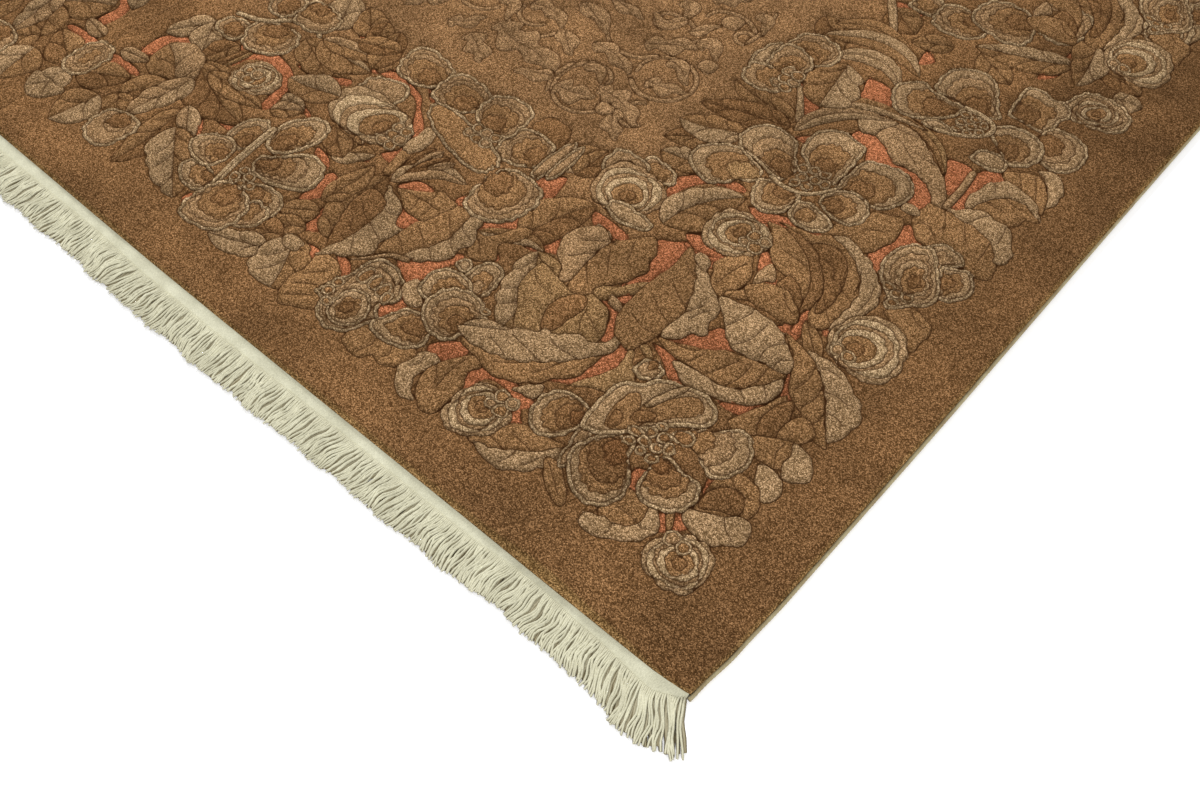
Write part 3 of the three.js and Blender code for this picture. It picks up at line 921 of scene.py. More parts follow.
# %% Banded flower towards the field
leaf((728,356), (740,306), 15, 0, "dark")
leaf((716,358), (728,312), 15, 0, "taupe")
leaf((702,356), (726,300), 16, 0, "dark")
leaf((690,352), (712,322), 14, 0, "taupe")
petal((754,353), (12,29), rim=0, tone="light")
petal((640,432), (36,34), (610,430))
petal((598,440), (11,40), rim=4, core=None)
petal((583,446), (9,36), rim=4, core=None)
petal((603,352), (42,46), (625,365))
petal((716,392), (76,25), turn=-12, tone="tan", core=None)
petal((850,456), (42,33), (820,440))
petal((776,452), (38,35), (740,430))
petal((704,458), (38,36), (704,430))
cells((702,412), (26,12))
leaf((868,318), (804,302), 30, 1, "light", "tan")
petal((860,385), (34,28), turn=10, core=None)
rose((838,340), (66,40), heart=(-18,-2), bunch=(-52,-4, 14,20))
tally()

# %% Towards the middle of the end
leaf((1021,388), (934,356), 58, 3, "tan")
leaf((1002,400), (900,402), 44, 2, "light", "tan", bend=-4, share=0.35)
leaf((1002,404), (898,430), 32, 1, "taupe", "tan")
leaf((905,408), (926,488), 46, 1, "tan", "dark")
leaf((960,432), (900,460), 40, 1, "tan", "dark")
leaf((896,340), (977,315), 54, 2, "tan", "light", share=0.5, scallop=1.5)
leaf((912,284), (960,294), 30, 1, "light")
leaf((950,262), (912,290), 30, 1, "taupe", "tan")
leaf((1140,330), (1186,270), 42, 1, "light", scallop=3)
leaf((1146,328), (1100,262), 48, 1, "light", scallop=3)
leaf((1082,320), (1100,258), 44, 1, "tan", "dark")
ribbon((1064,326, 1070,296, 1086,258), 9, "dark", taper=0.7)
ribbon((1056,322, 1062,290, 1068,268), 7, "olive", taper=0.7)
ribbon((1100,258, 1070,270, 1048,276), 16, "tan", taper=0.7)
leaf((1096,258), (956,214), 64, 4, "tan", "dark", bend=-4, share=0.4)
leaf((1070,256), (958,256), 34, 3, "tan")
leaf((1212,140), (1140,176), 52, 2, "tan", "dark")
leaf((1200,206), (1150,216), 26, 0, "taupe")
leaf((1078,204), (1152,262), 76, 2, "tan", "taupe", sharp=0.5)
leaf((1085,206), (1130,148), 52, 1, "dark", "tan", sharp=0.5)
leaf((1130,150), (1096,118), 44, 1, "tan")
leaf((1076,234), (1098,130), 46, 2, "light", "taupe", bend=6)
leaf((1146,130), (1158,56), 62, 2, "light", "tan")
leaf((1036,186), (1022,64), 56, 2, "dark", "tan")
leaf((1038,196), (980,144), 30, 0, "light", "taupe")
leaf((1018,158), (920,74), 64, 3, "tan", "light", share=0.45, scallop=3)
bud((1084,101), (34,33), (1084,110))
leaf((1236,128), (1204,72), 60, 3, "light", scallop=3.5, sharp=0.5)
petal((1228,166), (36,36), (1240,170))
rose((1010,290), (35,32), heart=(-2,0), bunch=(16,-2, 12,16))
petal((1116,338), (26,22), core="dark", deep=None)
petal((1060,357), (40,34), turn=20, toward=(1064,372))
ribbon((1140,362, 1095,376, 1064,404, 1034,416, 1006,402), 9, "rim", taper=0.8)
petal((1042,430), (38,28), (1050,440))
petal((1096,420), (26,26), core="dark", deep=None)
tally()

# %% Flower on a double cord
pale_petal((957,134, 958,118, 944,104, 924,99, 904,104, 902,126, 920,140, 940,140), (906,134), tan=0.76,
    dark=0.42)
pale_petal((864,150, 850,166, 828,170, 808,164, 797,146, 800,126, 816,114, 836,114, 850,126), (860,150),
    tan=0.76, dark=0.5)
pale_petal((892,196, 874,212, 856,232, 836,244, 812,238, 800,220, 799,194, 822,178, 852,169, 882,172),
    (888,188), rim=6, taupe=0.8, tan=0.62, dark=0.38)
pale_petal((904,216, 914,236, 914,258, 902,280, 882,296, 860,291, 851,268, 856,244, 868,220, 886,210),
    (890,214), rim=6, tan=0.8, dark=0.5)
pale_petal((957,192, 959,222, 948,240, 932,247, 918,236, 914,206, 920,186, 940,188), (920,192), tan=0.78,
    dark=0.44)
pale_petal((944,194, 964,188, 981,174, 984,156, 970,142, 948,136, 928,140, 920,162, 926,186), (924,166),
    taupe=0.8, tan=0.62, dark=0.36)
ribbon((916,244, 912,204, 907,164, 899,126, 891,88), 12, "rim", taper=0.8)
crease((914,236, 911,200, 906,164, 899,130, 893,96), "fine")
cluster((886,166,8,7, 872,162,9,8, 888,151,8,8, 873,146,8,8, 885,136,8,7, 860,152,8,7, 870,132,7,6))
petal((822,120), (22,24), (860,140), deep=None)
petal((866,102), (38,42), (870,130))
tally()

# %% [markdown]
# ## The corner
# The corner carries the largest group of turned leaves, and a flower of five unlike petals that
# points at the rug's corner. A pale leaf and its brown half are two forms that share the midrib,
# because no two of these leaves have the same bend, so no stamp would fit them.

# %% Leaves of the corner
CORNER_FORMS = [
    ("tan", 1.6, 452,150, 466,136, 476,119, 482,102, 480,84, 472,70, 458,58, 446,54, 434,58, 432,84,
     433,108, 441,118, 443,130, 438,142),
    ("olive", 1.4, 492,302, 470,300, 447,296, 432,302, 416,307, 402,305, 386,302, 376,293, 368,280,
     362,268, 362,252, 380,240, 400,226, 425,212, 446,204, 456,216, 470,236, 490,262),
    ("dark", 1.2, 424,297, 412,296, 405,282, 408,258, 410,238, 422,226, 434,242, 440,260, 437,278),
    ("tan", 1.8, 414,424, 405,418, 396,406, 394,392, 386,378, 390,362, 396,345, 404,332, 413,321,
     414,304, 432,292, 446,300, 452,325, 451,348, 452,368, 449,385, 437,399, 428,411, 421,420),
    ("taupe", 2.0, 484,389, 474,395, 462,391, 451,384, 452,366, 451,338, 447,304, 458,297, 472,316,
     490,328, 500,350, 496,374),
    ("olive", 1.4, 374,365, 388,348, 396,335, 413,322, 414,308, 400,306, 391,314, 387,326, 377,336,
     370,344),
    ("taupe", 1.0, 393,321, 380,319, 371,313, 371,306, 384,307, 393,311),
    ("tan", 1.8, 345,246, 344,220, 347,200, 364,184, 371,170, 385,157, 397,150, 412,144, 428,141,
     444,146, 462,149, 480,152, 484,162, 455,172, 409,188, 371,214),
    ("light", 2.6, 351,278, 342,276, 337,264, 341,250, 357,227, 371,209, 388,193, 409,176, 431,166,
     455,160, 478,158, 500,166, 490,175, 474,185, 452,199, 444,211, 426,219, 419,230, 402,233, 393,244,
     380,250, 363,251, 353,262),
    ("olive", 1.2, 327,275, 317,272, 311,260, 300,252, 290,236, 300,212, 323,202, 346,187, 337,205,
     329,221, 321,240, 322,257),
    ("light", 1.6, 390,142, 385,152, 376,162, 365,169, 360,157, 364,146, 376,145),
    ("tan", 1.6, 373,441, 370,418, 369,400, 372,380, 374,352, 373,326, 371,308, 364,291, 354,279,
     336,271, 324,272, 319,286, 314,306, 311,330, 310,352, 314,368, 322,388, 334,409, 348,425, 360,436),
    ("light", 2.6, 360,438, 346,443, 336,436, 330,422, 317,417, 304,410, 295,398, 283,387, 278,376,
     282,364, 272,352, 276,342, 288,335, 291,323, 300,315, 312,311, 314,330, 311,352, 316,368, 324,388,
     336,408, 350,424),
    ("tan", 1.8, 386,66, 376,82, 365,96, 356,110, 342,117, 318,120, 291,124, 304,102, 324,86, 347,70,
     371,60),
    ("light", 2.8, 373,62, 347,72, 328,86, 311,98, 291,122, 284,112, 288,96, 298,78, 307,68, 318,62,
     328,54, 344,54, 358,57),
    ("tan", 1.6, 297,402, 287,425, 284,446, 300,474, 312,478, 326,462, 334,442, 326,428, 316,412),
    ("tan", 2.2, 294,406, 284,428, 268,448, 250,459, 230,459, 212,448, 202,434, 212,424, 218,414,
     250,408),
    ("dark", 1.2, 290,406, 262,420, 240,428, 222,424, 218,412, 250,404),
    ("light", 2.6, 168,404, 142,410, 118,406, 98,394, 78,382, 66,362, 68,336, 78,316, 92,334, 112,362,
     136,386),
    ("tan", 1.8, 204,410, 166,403, 138,387, 114,362, 92,332, 74,308, 98,312, 122,329, 150,344, 162,364,
     180,392),
    ("tan", 2.2, 312,306, 282,298, 248,300, 212,301, 194,313, 178,334, 166,360, 192,358, 222,350,
     244,342, 258,330, 274,316, 296,313),
    ("light", 2.0, 278,294, 246,299, 212,301, 192,314, 176,336, 165,354, 157,336, 162,314, 180,296,
     206,284, 240,274, 262,282),
    ("light", 2.2, 296,401, 272,410, 244,414, 212,410, 190,396, 168,378, 170,360, 196,358, 222,351,
     246,355, 272,380),
    ("tan", 1.4, 150,340, 160,314, 170,290, 178,268, 160,262, 146,270, 132,276, 128,300, 138,322),
    ("dark", 1.2, 140,338, 150,318, 152,292, 140,272, 126,284, 124,304, 130,322),
    ("tan", 1.4, 118,328, 128,302, 122,284, 108,286, 96,300, 94,318),
    ("tan", 1.4, 150,266, 128,282, 106,292, 94,276, 96,254, 120,250, 138,252),
    ("light", 2.2, 104,292, 86,292, 70,280, 63,264, 72,252, 88,248, 98,262, 98,278),
    ("light", 1.8, 116,246, 98,250, 82,241, 76,224, 86,209, 100,216, 112,232),
    ("tan", 1.6, 140,214, 118,224, 98,219, 84,202, 84,184, 98,172, 112,158, 134,154, 140,178),
    ("dark", 1.2, 132,160, 112,172, 96,178, 98,196, 114,204, 130,196, 138,178),
    ("light", 2.4, 140,152, 112,164, 98,176, 82,182, 71,170, 70,154, 82,144, 90,134, 112,130, 138,138),
    ("tan", 1.2, 206,130, 178,126, 160,118, 164,100, 180,86, 206,82, 216,96, 208,112),
    ("light", 2.6, 172,128, 156,124, 148,106, 158,84, 178,70, 198,60, 216,62, 222,74, 204,84, 182,88,
     168,104),
    ("tan", 1.6, 298,100, 286,82, 266,68, 246,64, 246,76, 262,90, 282,104),
]
CORNER_VEINS = [
    (310,420, 309,440, 304,460), (276,412, 262,428, 258,444), (252,412, 240,424, 236,442),
    (262,372, 256,388, 250,408), (238,356, 228,374, 226,404), (204,362, 206,378, 196,394),
    (184,360, 184,372, 176,380), (264,302, 258,314, 256,326), (236,303, 228,320, 220,340),
    (210,304, 204,322, 204,344), (190,320, 186,338, 188,352), (226,299, 214,290, 208,288),
    (196,311, 184,304, 180,300), (178,334, 170,326, 166,322), (146,392, 132,398, 116,398),
    (122,370, 106,374, 90,372), (104,348, 90,350, 78,346), (150,396, 144,376, 146,356),
    (126,376, 122,356, 126,340), (104,348, 102,334, 106,322), (112,284, 112,268, 104,256),
    (200,104, 182,104, 166,102), (126,210, 112,202, 96,204), (104,168, 96,158, 84,152),
    (190,84, 186,76, 188,70), (168,102, 162,100, 156,104), (290,96, 272,84, 258,74),
    (400,220, 380,220, 362,222), (441,198, 418,195, 390,191), (459,179, 444,176, 430,171),
    (408,174, 420,164, 432,156), (372,207, 378,190, 386,174), (458,136, 460,112, 456,88),
    (349,381, 332,370, 316,363), (350,348, 334,338, 314,331), (350,311, 334,306, 317,309),
    (357,417, 345,408, 334,407), (301,379, 306,366, 311,355), (330,421, 338,420, 350,426),
    (290,378, 296,368, 300,352), (427,401, 421,388, 416,376), (443,374, 434,360, 423,346),
    (451,341, 442,328, 429,315), (476,363, 465,372, 453,381), (474,332, 464,344, 453,357),
    (399,279, 388,275, 373,267), (403,285, 396,266, 387,253), (490,289, 476,277, 450,273),
    (347,98, 332,97, 314,95), (365,80, 350,78, 338,77), (329,85, 328,74, 332,64), (302,96, 306,84, 312,74),
    (478,110, 468,100, 462,90),
]
leaf((150,398), (198,442), 24, 0, "tan")
forms_and_veins(CORNER_FORMS, CORNER_VEINS)
ribbon((160,146, 146,128, 136,112), 12, "tan")
ribbon((318,288, 300,278, 284,262), 12, "olive")
rose((398,95), (35,38), heart=(2,2), bunch=(-12,24, 16,12))
rose((108,95), (37,33), heart=(-5,-4), bunch=(14,17, 17,10))
bud((289,264), (17,15), (289,270))
tally()

# %% Flower of the corner
pale_petal((298,176, 322,184, 346,178, 358,158, 355,134, 340,118, 322,116, 304,132, 297,154), (296,168),
    tan=0.84, dark=0.6, deep=0.34)
petal((284,132), (10,30), turn=10, rim=4, core=None)
pale_petal((262,172, 279,150, 285,126, 274,106, 252,88, 226,84, 208,98, 202,118, 212,142, 230,160, 236,180),
    (246,176), tan=0.86, dark=0.7, deep=0.42)
pale_petal((206,178, 196,190, 172,184, 150,184, 139,166, 142,146, 156,132, 180,125, 198,132, 204,152),
    (206,180), tan=0.8, dark=0.62, deep=0.34)
pale_petal((206,216, 198,240, 182,245, 168,262, 152,270, 134,258, 124,238, 130,212, 144,197, 162,202,
    178,212), (212,222), taupe=0.8, tan=0.52, dark=0.26)
form((300,158, 306,196, 303,230, 284,244, 270,264, 244,274, 214,280, 190,266, 190,244, 214,226, 240,196,
    262,170, 282,156), "light", rim=6, ruffle=1.8, bump=24)
form((284,226, 272,230, 262,216, 246,204, 262,180, 278,174, 286,196), "tan", ruffle=2, bump=16, edge="fine")
form((262,222, 250,240, 234,262, 220,270, 206,260, 208,248, 226,230, 242,208, 256,206), "tan", ruffle=1.6,
    edge="fine")
form((262,212, 250,222, 240,218, 250,202, 262,200), "dark", ruffle=1.5, bump=14, edge="vein")
form((282,196, 272,198, 266,186, 276,176), "dark", ruffle=1.5, bump=14, edge="vein")
form((262,224, 258,244, 247,268, 238,277, 240,260, 248,242, 254,226), "light", ruffle=1.2, bump=16)
cluster((200,218,13,11, 216,204,9,8, 228,214,7,6, 232,200,8,7, 246,190,10,7, 230,186,9,7, 214,188,8,7,
    203,196,7,9, 244,176,8,6, 226,174,7,6, 210,174,8,7))
tally()

# %% [markdown]
# ## The long side
# Along the side the wreath repeats after 650 mm. The repeat unit runs from the corner to the flower
# on the wreath's inner edge, so everything drawn from here on is counted, and moved up once more at
# the end. An array modifier would repeat the finished pile as well, but not join its grooves.

# %% Leaves of the side
repeat_from = (len(patches), len(lines))
SIDE_FORMS = [
    ("light", 2.2, 116,834, 104,826, 92,813, 84,800, 77,780, 71,788, 70,802, 72,820, 84,836, 100,842),
    ("tan", 1.6, 149,802, 130,817, 116,824, 104,822, 92,811, 84,800, 78,784, 74,768, 90,776, 104,782,
     120,787, 137,789),
    ("tan", 1.8, 70,753, 84,747, 86,735, 94,724, 106,719, 116,722, 126,726, 136,724, 148,714, 145,730,
     141,743, 133,756, 122,767, 110,771, 95,770, 80,763),
    ("light", 2.4, 136,791, 120,790, 104,786, 90,781, 78,769, 69,754, 80,761, 95,768, 110,769, 121,765,
     132,754, 140,741, 144,729, 148,716, 156,720, 158,733, 161,744, 155,758, 153,775, 145,782),
    ("tan", 2.0, 189,697, 168,700, 150,698, 130,698, 113,695, 100,690, 91,683, 83,673, 75,664, 69,650,
     67,638, 74,628, 92,627, 112,634, 135,640, 150,632, 164,631, 177,639, 186,648, 195,664, 193,682),
    ("light", 2.6, 169,699, 157,709, 145,719, 133,726, 122,726, 110,722, 96,723, 85,717, 79,703, 69,691,
     65,677, 69,664, 77,661, 83,671, 91,681, 100,688, 113,693, 130,696, 150,696),
    ("taupe", 1.8, 345,762, 335,778, 318,787, 304,789, 285,791, 265,787, 248,777, 230,764, 212,752,
     200,743, 189,730, 178,714, 169,699, 180,695, 189,697, 200,711, 215,721, 230,726, 247,728, 265,725,
     278,734, 293,744, 312,751, 330,747),
    ("light", 1.6, 347,762, 337,779, 318,788, 300,788, 307,774, 311,760, 313,751, 330,746),
    ("light", 1.4, 213,677, 198,678, 189,668, 200,662, 213,663),
    ("tan", 1.8, 235,636, 217,643, 202,651, 193,639, 190,622, 189,607, 196,594, 199,579, 210,570,
     226,574, 240,570, 257,568, 260,586, 248,598, 238,608),
    ("tan", 1.6, 314,546, 290,553, 268,557, 257,567, 247,571, 226,567, 212,560, 198,550, 184,536,
     172,520, 168,500, 167,480, 169,452, 178,440, 190,438, 201,452, 204,470, 206,486, 216,504, 234,524,
     250,538, 266,543, 288,546),
    ("dark", 1.4, 262,543, 240,556, 220,552, 206,538, 196,518, 190,496, 188,470, 194,456, 202,470,
     206,488, 218,506, 236,524, 250,536),
    ("tan", 1.8, 324,539, 294,540, 274,531, 258,524, 242,510, 229,494, 221,478, 214,450, 222,456,
     234,474, 250,480, 268,481, 283,489, 295,500, 299,512, 312,526),
    ("dark", 1.4, 253,482, 240,481, 226,471, 215,456, 212,444, 226,450, 240,460, 256,462),
    ("tan", 2.0, 282,434, 275,449, 262,458, 246,462, 235,461, 221,453, 207,441, 203,431, 212,422,
     240,420, 268,422),
    ("taupe", 1.4, 281,484, 270,479, 261,466, 268,458, 278,444, 284,462),
    ("light", 2.6, 250,570, 236,579, 222,578, 207,571, 191,567, 178,556, 165,546, 155,534, 148,519,
     147,503, 151,486, 158,468, 169,446, 171,470, 170,490, 172,507, 175,520, 185,534, 199,548, 213,557,
     227,564, 239,566),
    ("tan", 1.8, 135,510, 126,527, 117,536, 102,537, 90,533, 78,526, 75,512, 77,498, 76,484, 88,475,
     100,488, 114,502),
]
SIDE_VEINS = [
    (137,742, 124,741, 112,741), (120,763, 110,759, 98,757), (170,697, 162,686, 154,674),
    (138,693, 130,680, 122,669), (98,684, 95,672, 94,658), (186,649, 181,658, 172,661, 162,655),
    (250,757, 236,755, 219,754), (300,779, 284,780, 268,783), (276,762, 262,752, 244,742),
    (226,603, 216,611, 206,616), (231,530, 218,527, 209,513), (200,513, 190,505, 178,499),
    (200,480, 186,466, 170,452), (282,511, 266,510, 250,508), (190,544, 182,528, 178,512),
    (164,532, 158,514, 158,494), (240,456, 228,444, 214,438), (110,532, 98,522, 86,520),
    (132,812, 122,800, 116,790), (112,818, 100,800, 92,782), (122,724, 130,712, 134,700),
    (96,720, 92,706, 90,690), (150,778, 142,772, 138,764),
]
forms_and_veins(SIDE_FORMS, SIDE_VEINS)
leaf((421,448), (368,550), 68, 3, "light", "tan", bend=14, share=0.4, scallop=2)
rose((118,455), (44,48), heart=(6,-6), bunch=(18,-26, 18,10))
ribbon((172,698, 173,740, 178,780), 11, "taupe", taper=0.9)
blade((397,688, 388,728, 358,765, 306,790), 28, "taupe", "light")
blade((203,750, 238,785, 284,802, 330,799), 18, "tan", "olive")
blade((397,750, 368,784, 322,800, 262,803), 22, "tan", "light", scallop=2)
leaf((417,840), (400,748), 76, 3, "light", "tan", share=0.5, scallop=4, sharp=0.5)
rose((342,495), (42,37), heart=(2,2), bunch=(-24,4, 14,14))
tally()

# %% Rose of the side
pale_petal((150,634, 145,643, 136,649, 122,648, 108,643, 102,632, 112,622, 124,613, 136,622), (128,618),
    rim=4, taupe=0.66)
pale_petal((122,615, 108,622, 97,630, 84,625, 73,610, 71,595, 80,579, 90,569, 101,573, 113,591), (108,594),
    tan=0.72, dark=0.45)
pale_petal((150,632, 168,625, 178,611, 182,595, 182,577, 175,560, 164,547, 150,537, 141,520, 129,520,
    118,535, 102,549, 97,566, 104,584, 114,599, 125,612, 138,629), (131,572), taupe=0.8, light=0.62,
    tan=0.44, dark=0.22)
cluster((152,547,9,7, 139,543,9,7, 126,546,8,7, 136,529,8,7))
tally()

# %% Flower of the side
pale_petal((356,604, 376,604, 402,612, 428,616, 444,630, 446,648, 438,668, 420,680, 400,680, 380,674,
    366,652, 350,632), (348,612), taupe=0.78, tan=0.56, dark=0.4)
pale_petal((382,602, 408,612, 432,618, 456,606, 474,584, 470,558, 448,544, 424,540, 408,552, 396,570,
    380,578), (376,590), tan=0.8, olive=0.5)
pale_petal((352,652, 368,664, 374,698, 362,720, 342,731, 322,727, 306,724, 301,700, 299,664, 302,640,
    330,638), (322,642), tan=0.72, dark=0.4)
pale_petal((294,640, 297,676, 294,704, 276,713, 250,720, 230,714, 214,694, 216,668, 230,644, 258,638),
    (276,640), tan=0.76, dark=0.44)
pale_petal((378,588, 362,600, 342,601, 320,598, 316,580, 322,558, 342,545, 362,550, 374,568), (336,598),
    tan=0.78, dark=0.45)
form((318,588, 304,597, 284,594, 262,586, 262,566, 282,556, 304,556, 317,568), "light", rim=5)
petal((296,576), (12,12), rim=0, tone="tan", ruffle=1.5)
pale_petal((300,612, 292,636, 274,648, 252,646, 239,634, 235,614, 244,596, 266,592, 290,600), (290,604),
    tan=0.78, dark=0.48)
ribbon((372,602, 346,598, 320,604, 304,620, 292,640), 7, "rim", taper=0.8)
cluster((346,640,9,8, 332,646,8,7, 318,648,8,7, 308,634,8,8, 322,632,8,8, 338,626,8,8, 324,616,8,7,
    340,612,8,7))
tally()

# %% Leaves and roses further up the side
GAPS_UPPER = [
    (250,1180, 215,1190, 200,1150, 215,1120, 240,1140),
    (250,1010, 225,1012, 228,990, 250,985),
    (205,985, 188,1010, 196,1045, 215,1030, 212,1000),
    (440,1000, 400,1000, 405,975, 435,980),
    (190,1100, 170,1120, 176,1070, 200,1050),
    (345,905, 330,925, 352,935),
    (158,905, 140,915, 148,935, 160,925),
]
for points in GAPS_UPPER:
    gap(points)
leaf((292,978), (228,950), 42, 1, "tan")
leaf((327,966), (379,938), 36, 1, "tan")
leaf((436,985), (384,950), 52, 2, "tan", "dark")
ribbon((452,998, 420,955, 388,910), 14, "light", taper=0.6)
leaf((500,905), (440,850), 40, 1, "tan", "dark")
blade((480,900, 440,925, 400,925, 345,905), 34, "tan")
blade((480,870, 420,905, 370,905, 328,882), 36, "light", "tan", scallop=2)
blade((448,842, 410,870, 370,872, 335,845), 30, "light", scallop=2)
leaf((112,1016), (72,1026), 40, 1, "light")
leaf((183,1040), (308,994), 50, 3, "tan", "light", bend=8)
leaf((150,1060), (84,1048), 40, 1, "tan", "dark")
leaf((200,1168), (152,1008), 66, 4, "light", "tan")
leaf((186,1174), (82,1068), 68, 3, "tan", "light", share=0.45, scallop=2.5)
leaf((190,1166), (120,1052), 26, 0, "tan")
leaf((262,1180), (214,1120), 50, 2, "tan", "light")
rose((118,1190), (38,40), heart=(-2,-2), bunch=(10,-22, 14,10))
petal((112,978), (42,34), tone="light", core=None)
rose((112,976), (32,25), heart=(0,-2), outer="taupe")
petal((403,1018), (24,22), deep=None)
petal((348,1016), (42,31), (300,1040))
petal((236,1108), (38,42), (270,1080))
petal((301,1058), (46,40), (270,1080))
tally()

# %% Flower with a bent cord
pale_petal((345,850, 334,868, 318,880, 298,873, 276,872, 250,872, 252,846, 272,824, 292,810, 318,808,
    338,828), (258,850), tan=0.78, dark=0.5)
pale_petal((298,874, 307,898, 304,926, 286,942, 262,949, 242,940, 228,922, 216,902, 203,884, 222,872,
    262,876), (224,874), taupe=0.82, tan=0.62, dark=0.4)
pale_petal((200,898, 207,930, 208,960, 188,969, 168,964, 150,966, 135,948, 141,926, 137,906, 152,895,
    176,897), (188,898), tan=0.78, dark=0.48)
pale_petal((142,914, 116,920, 92,912, 80,892, 80,864, 94,846, 118,844, 134,860, 148,888), (146,884),
    taupe=0.8, dark=0.56)
form((196,796, 194,816, 176,826, 156,822, 148,806, 160,794, 178,792), "light", rim=5, ruffle=1.6)
pale_petal((203,866, 188,880, 168,887, 146,884, 130,872, 124,850, 132,828, 150,816, 166,826, 184,838,
    200,850), (168,826), rim=6, tan=0.74, dark=0.46)
form((280,814, 268,828, 250,829, 236,820, 250,810, 266,808), "light", rim=4, ruffle=1.4, bump=15)
ribbon((252,872, 224,873, 203,866, 200,848, 216,830, 240,817, 262,811), 8, "rim", taper=0.8)
cluster((242,861,8,7, 227,861,8,7, 213,858,7,7, 240,845,8,7, 225,846,8,7, 211,843,7,7, 237,831,8,6,
    223,832,7,6))
tally()

# %% Flower on the wreath's inner edge
petal((505,782), (22,40), tone="light", core=None)
petal((470,834), (38,32), (465,800))
petal((480,792), (30,34), (465,770))
petal((488,745), (32,26), (466,765), deep=None)
cells((462,762), (16,20))
tally()

# %% Repeat of the side
REPEAT_SHIFT = 650.0

shift = np.array((0, REPEAT_SHIFT))
first_shape, first_line = repeat_from
repeated = [(outline + shift, tone) for outline, tone in patches[first_shape:]]
for points, depth, stamp in lines[first_line:]:
    lines.append((points + shift, depth, stamp + len(repeated)))
for spine in spines[first_shape:]:
    if spine:
        spine = (spine[0], spine[1] + REPEAT_SHIFT, spine[2], spine[3] + REPEAT_SHIFT, *spine[4:])
    spines.append(spine)
patches += repeated
print("shapes drawn:", len(patches), " grooves drawn:", len(lines))

# %% [markdown]
# ## From drawing to carved pile
# The drawing is painted in order, like cut paper, so a later shape hides what it covers. A map of
# the topmost shape at each spot tells which stretches of the grooves stay visible. Then the top of
# the pile is one net of triangles, with an edge along every groove. Blender's displacement could
# press the grooves into an even grid, but a grid fine enough for a 3 mm groove needs ten times the
# faces. No bmesh operator makes such a net, so Blender's own triangulation lays it out.

# %% Which grooves show
MAP_CELL = 0.75
MAP_BOX = (-2.0, HALF_WIDTH + 20.0, -HALF_LENGTH - 20.0, 2.0)
MAP_STEP = 1.0
SHORTEST_RUN = 4.0
MIDDLE_CLEAR = 0.8      # no groove runs nearer to the middle lines
EDGE_PLAIN = 12.0       # nor nearer to the pile's edge


def topmost(size, box):
    """number of the topmost shape in each square of a box (x0, x1, y0, y1)"""
    x0, x1, y0, y1 = box
    top = np.zeros((int((y1 - y0) / size), int((x1 - x0) / size)), np.int32)
    for number, (outline, tone) in enumerate(patches, 1):
        across, up = (outline[:, 0] - x0) / size - 0.5, (outline[:, 1] - y0) / size - 0.5
        row0 = max(0, int(np.ceil(up.min())))
        row1 = min(top.shape[0] - 1, int(np.floor(up.max())))
        col0 = max(0, int(np.floor(across.min())) - 1)
        col1 = min(top.shape[1] - 1, int(np.ceil(across.max())) + 1)
        if row1 < row0 or col1 < col0:
            continue
        rows = np.arange(row0, row1 + 1)
        rise, run = np.roll(up, -1) - up, np.roll(across, -1) - across
        crossed = (up[:, None] <= rows) != (np.roll(up, -1)[:, None] <= rows)
        leg, row = np.nonzero(crossed)
        where = across[leg] + (rows[row] - up[leg]) / rise[leg] * run[leg]
        col = np.clip(np.ceil(where).astype(int), col0, col1 + 1) - col0
        crossings = np.zeros((len(rows), col1 - col0 + 2), np.int32)
        np.add.at(crossings, (row, col), 1)
        inside = np.cumsum(crossings, axis=1)[:, :-1] % 2 == 1
        top[row0:row1 + 1, col0:col1 + 1][inside] = number
    return top


shape_map = topmost(MAP_CELL, MAP_BOX)


def map_squares(points, low=0, high=1):
    """row and column of the map under each point, held inside its borders"""
    col = ((points[:, 0] - MAP_BOX[0]) / MAP_CELL).astype(int)
    row = ((points[:, 1] - MAP_BOX[2]) / MAP_CELL).astype(int)
    rows, cols = shape_map.shape
    return np.clip(row, low, rows - high), np.clip(col, low, cols - high)


def shape_at(points):
    """number of the topmost shape at each point, 0 on the plain ground"""
    return shape_map[map_squares(points)]


def evenly(points, step):
    """the same line with points a step apart"""
    legs = np.hypot(*np.diff(points, axis=0).T)
    along = np.concatenate([[0], np.cumsum(legs)])
    at = np.linspace(0, along[-1], max(2, int(along[-1] / step) + 1))
    return np.column_stack([np.interp(at, along, points[:, 0]), np.interp(at, along, points[:, 1])])


def edge_distance(points):
    """how far inside the pile's edge each point lies"""
    return np.minimum(side_out(points[:, 1]) - points[:, 0], end_out(points[:, 0]) + points[:, 1])


def visible_runs():
    """the stretches of each groove that no later shape hides: points 1 mm apart, and the depth"""
    runs = []
    for points, depth, stamp in lines:
        dense = evenly(points, MAP_STEP)
        shown = (dense[:, 0] > MIDDLE_CLEAR) & (dense[:, 1] < -MIDDLE_CLEAR)
        shown &= (shape_at(dense) <= stamp) & (edge_distance(dense) > EDGE_PLAIN)
        cuts = np.flatnonzero(np.diff(shown.astype(int))) + 1
        for part in np.split(np.arange(len(dense)), cuts):
            if shown[part[0]] and len(part) * MAP_STEP > SHORTEST_RUN:
                runs.append((dense[part], depth))
    return runs


runs = visible_runs()
metres = sum(len(dense) for dense, depth in runs) * MAP_STEP / 1000
print("visible stretches:", len(runs), " metres:", round(metres, 1))

# %% Points along the grooves
TURN_LIMIT = 0.5        # radians of turning between two points
LEG_LONGEST = 8.0
LEG_SHORTEST = 2.6
SHOULDER = 1.35         # from the groove's middle to the foot of its shoulder
SHOULDER_CLEAR = 1.05
SLOPE = 4.7             # to where the puffed form is nearly full
SLOPE_CLEAR = 3.7

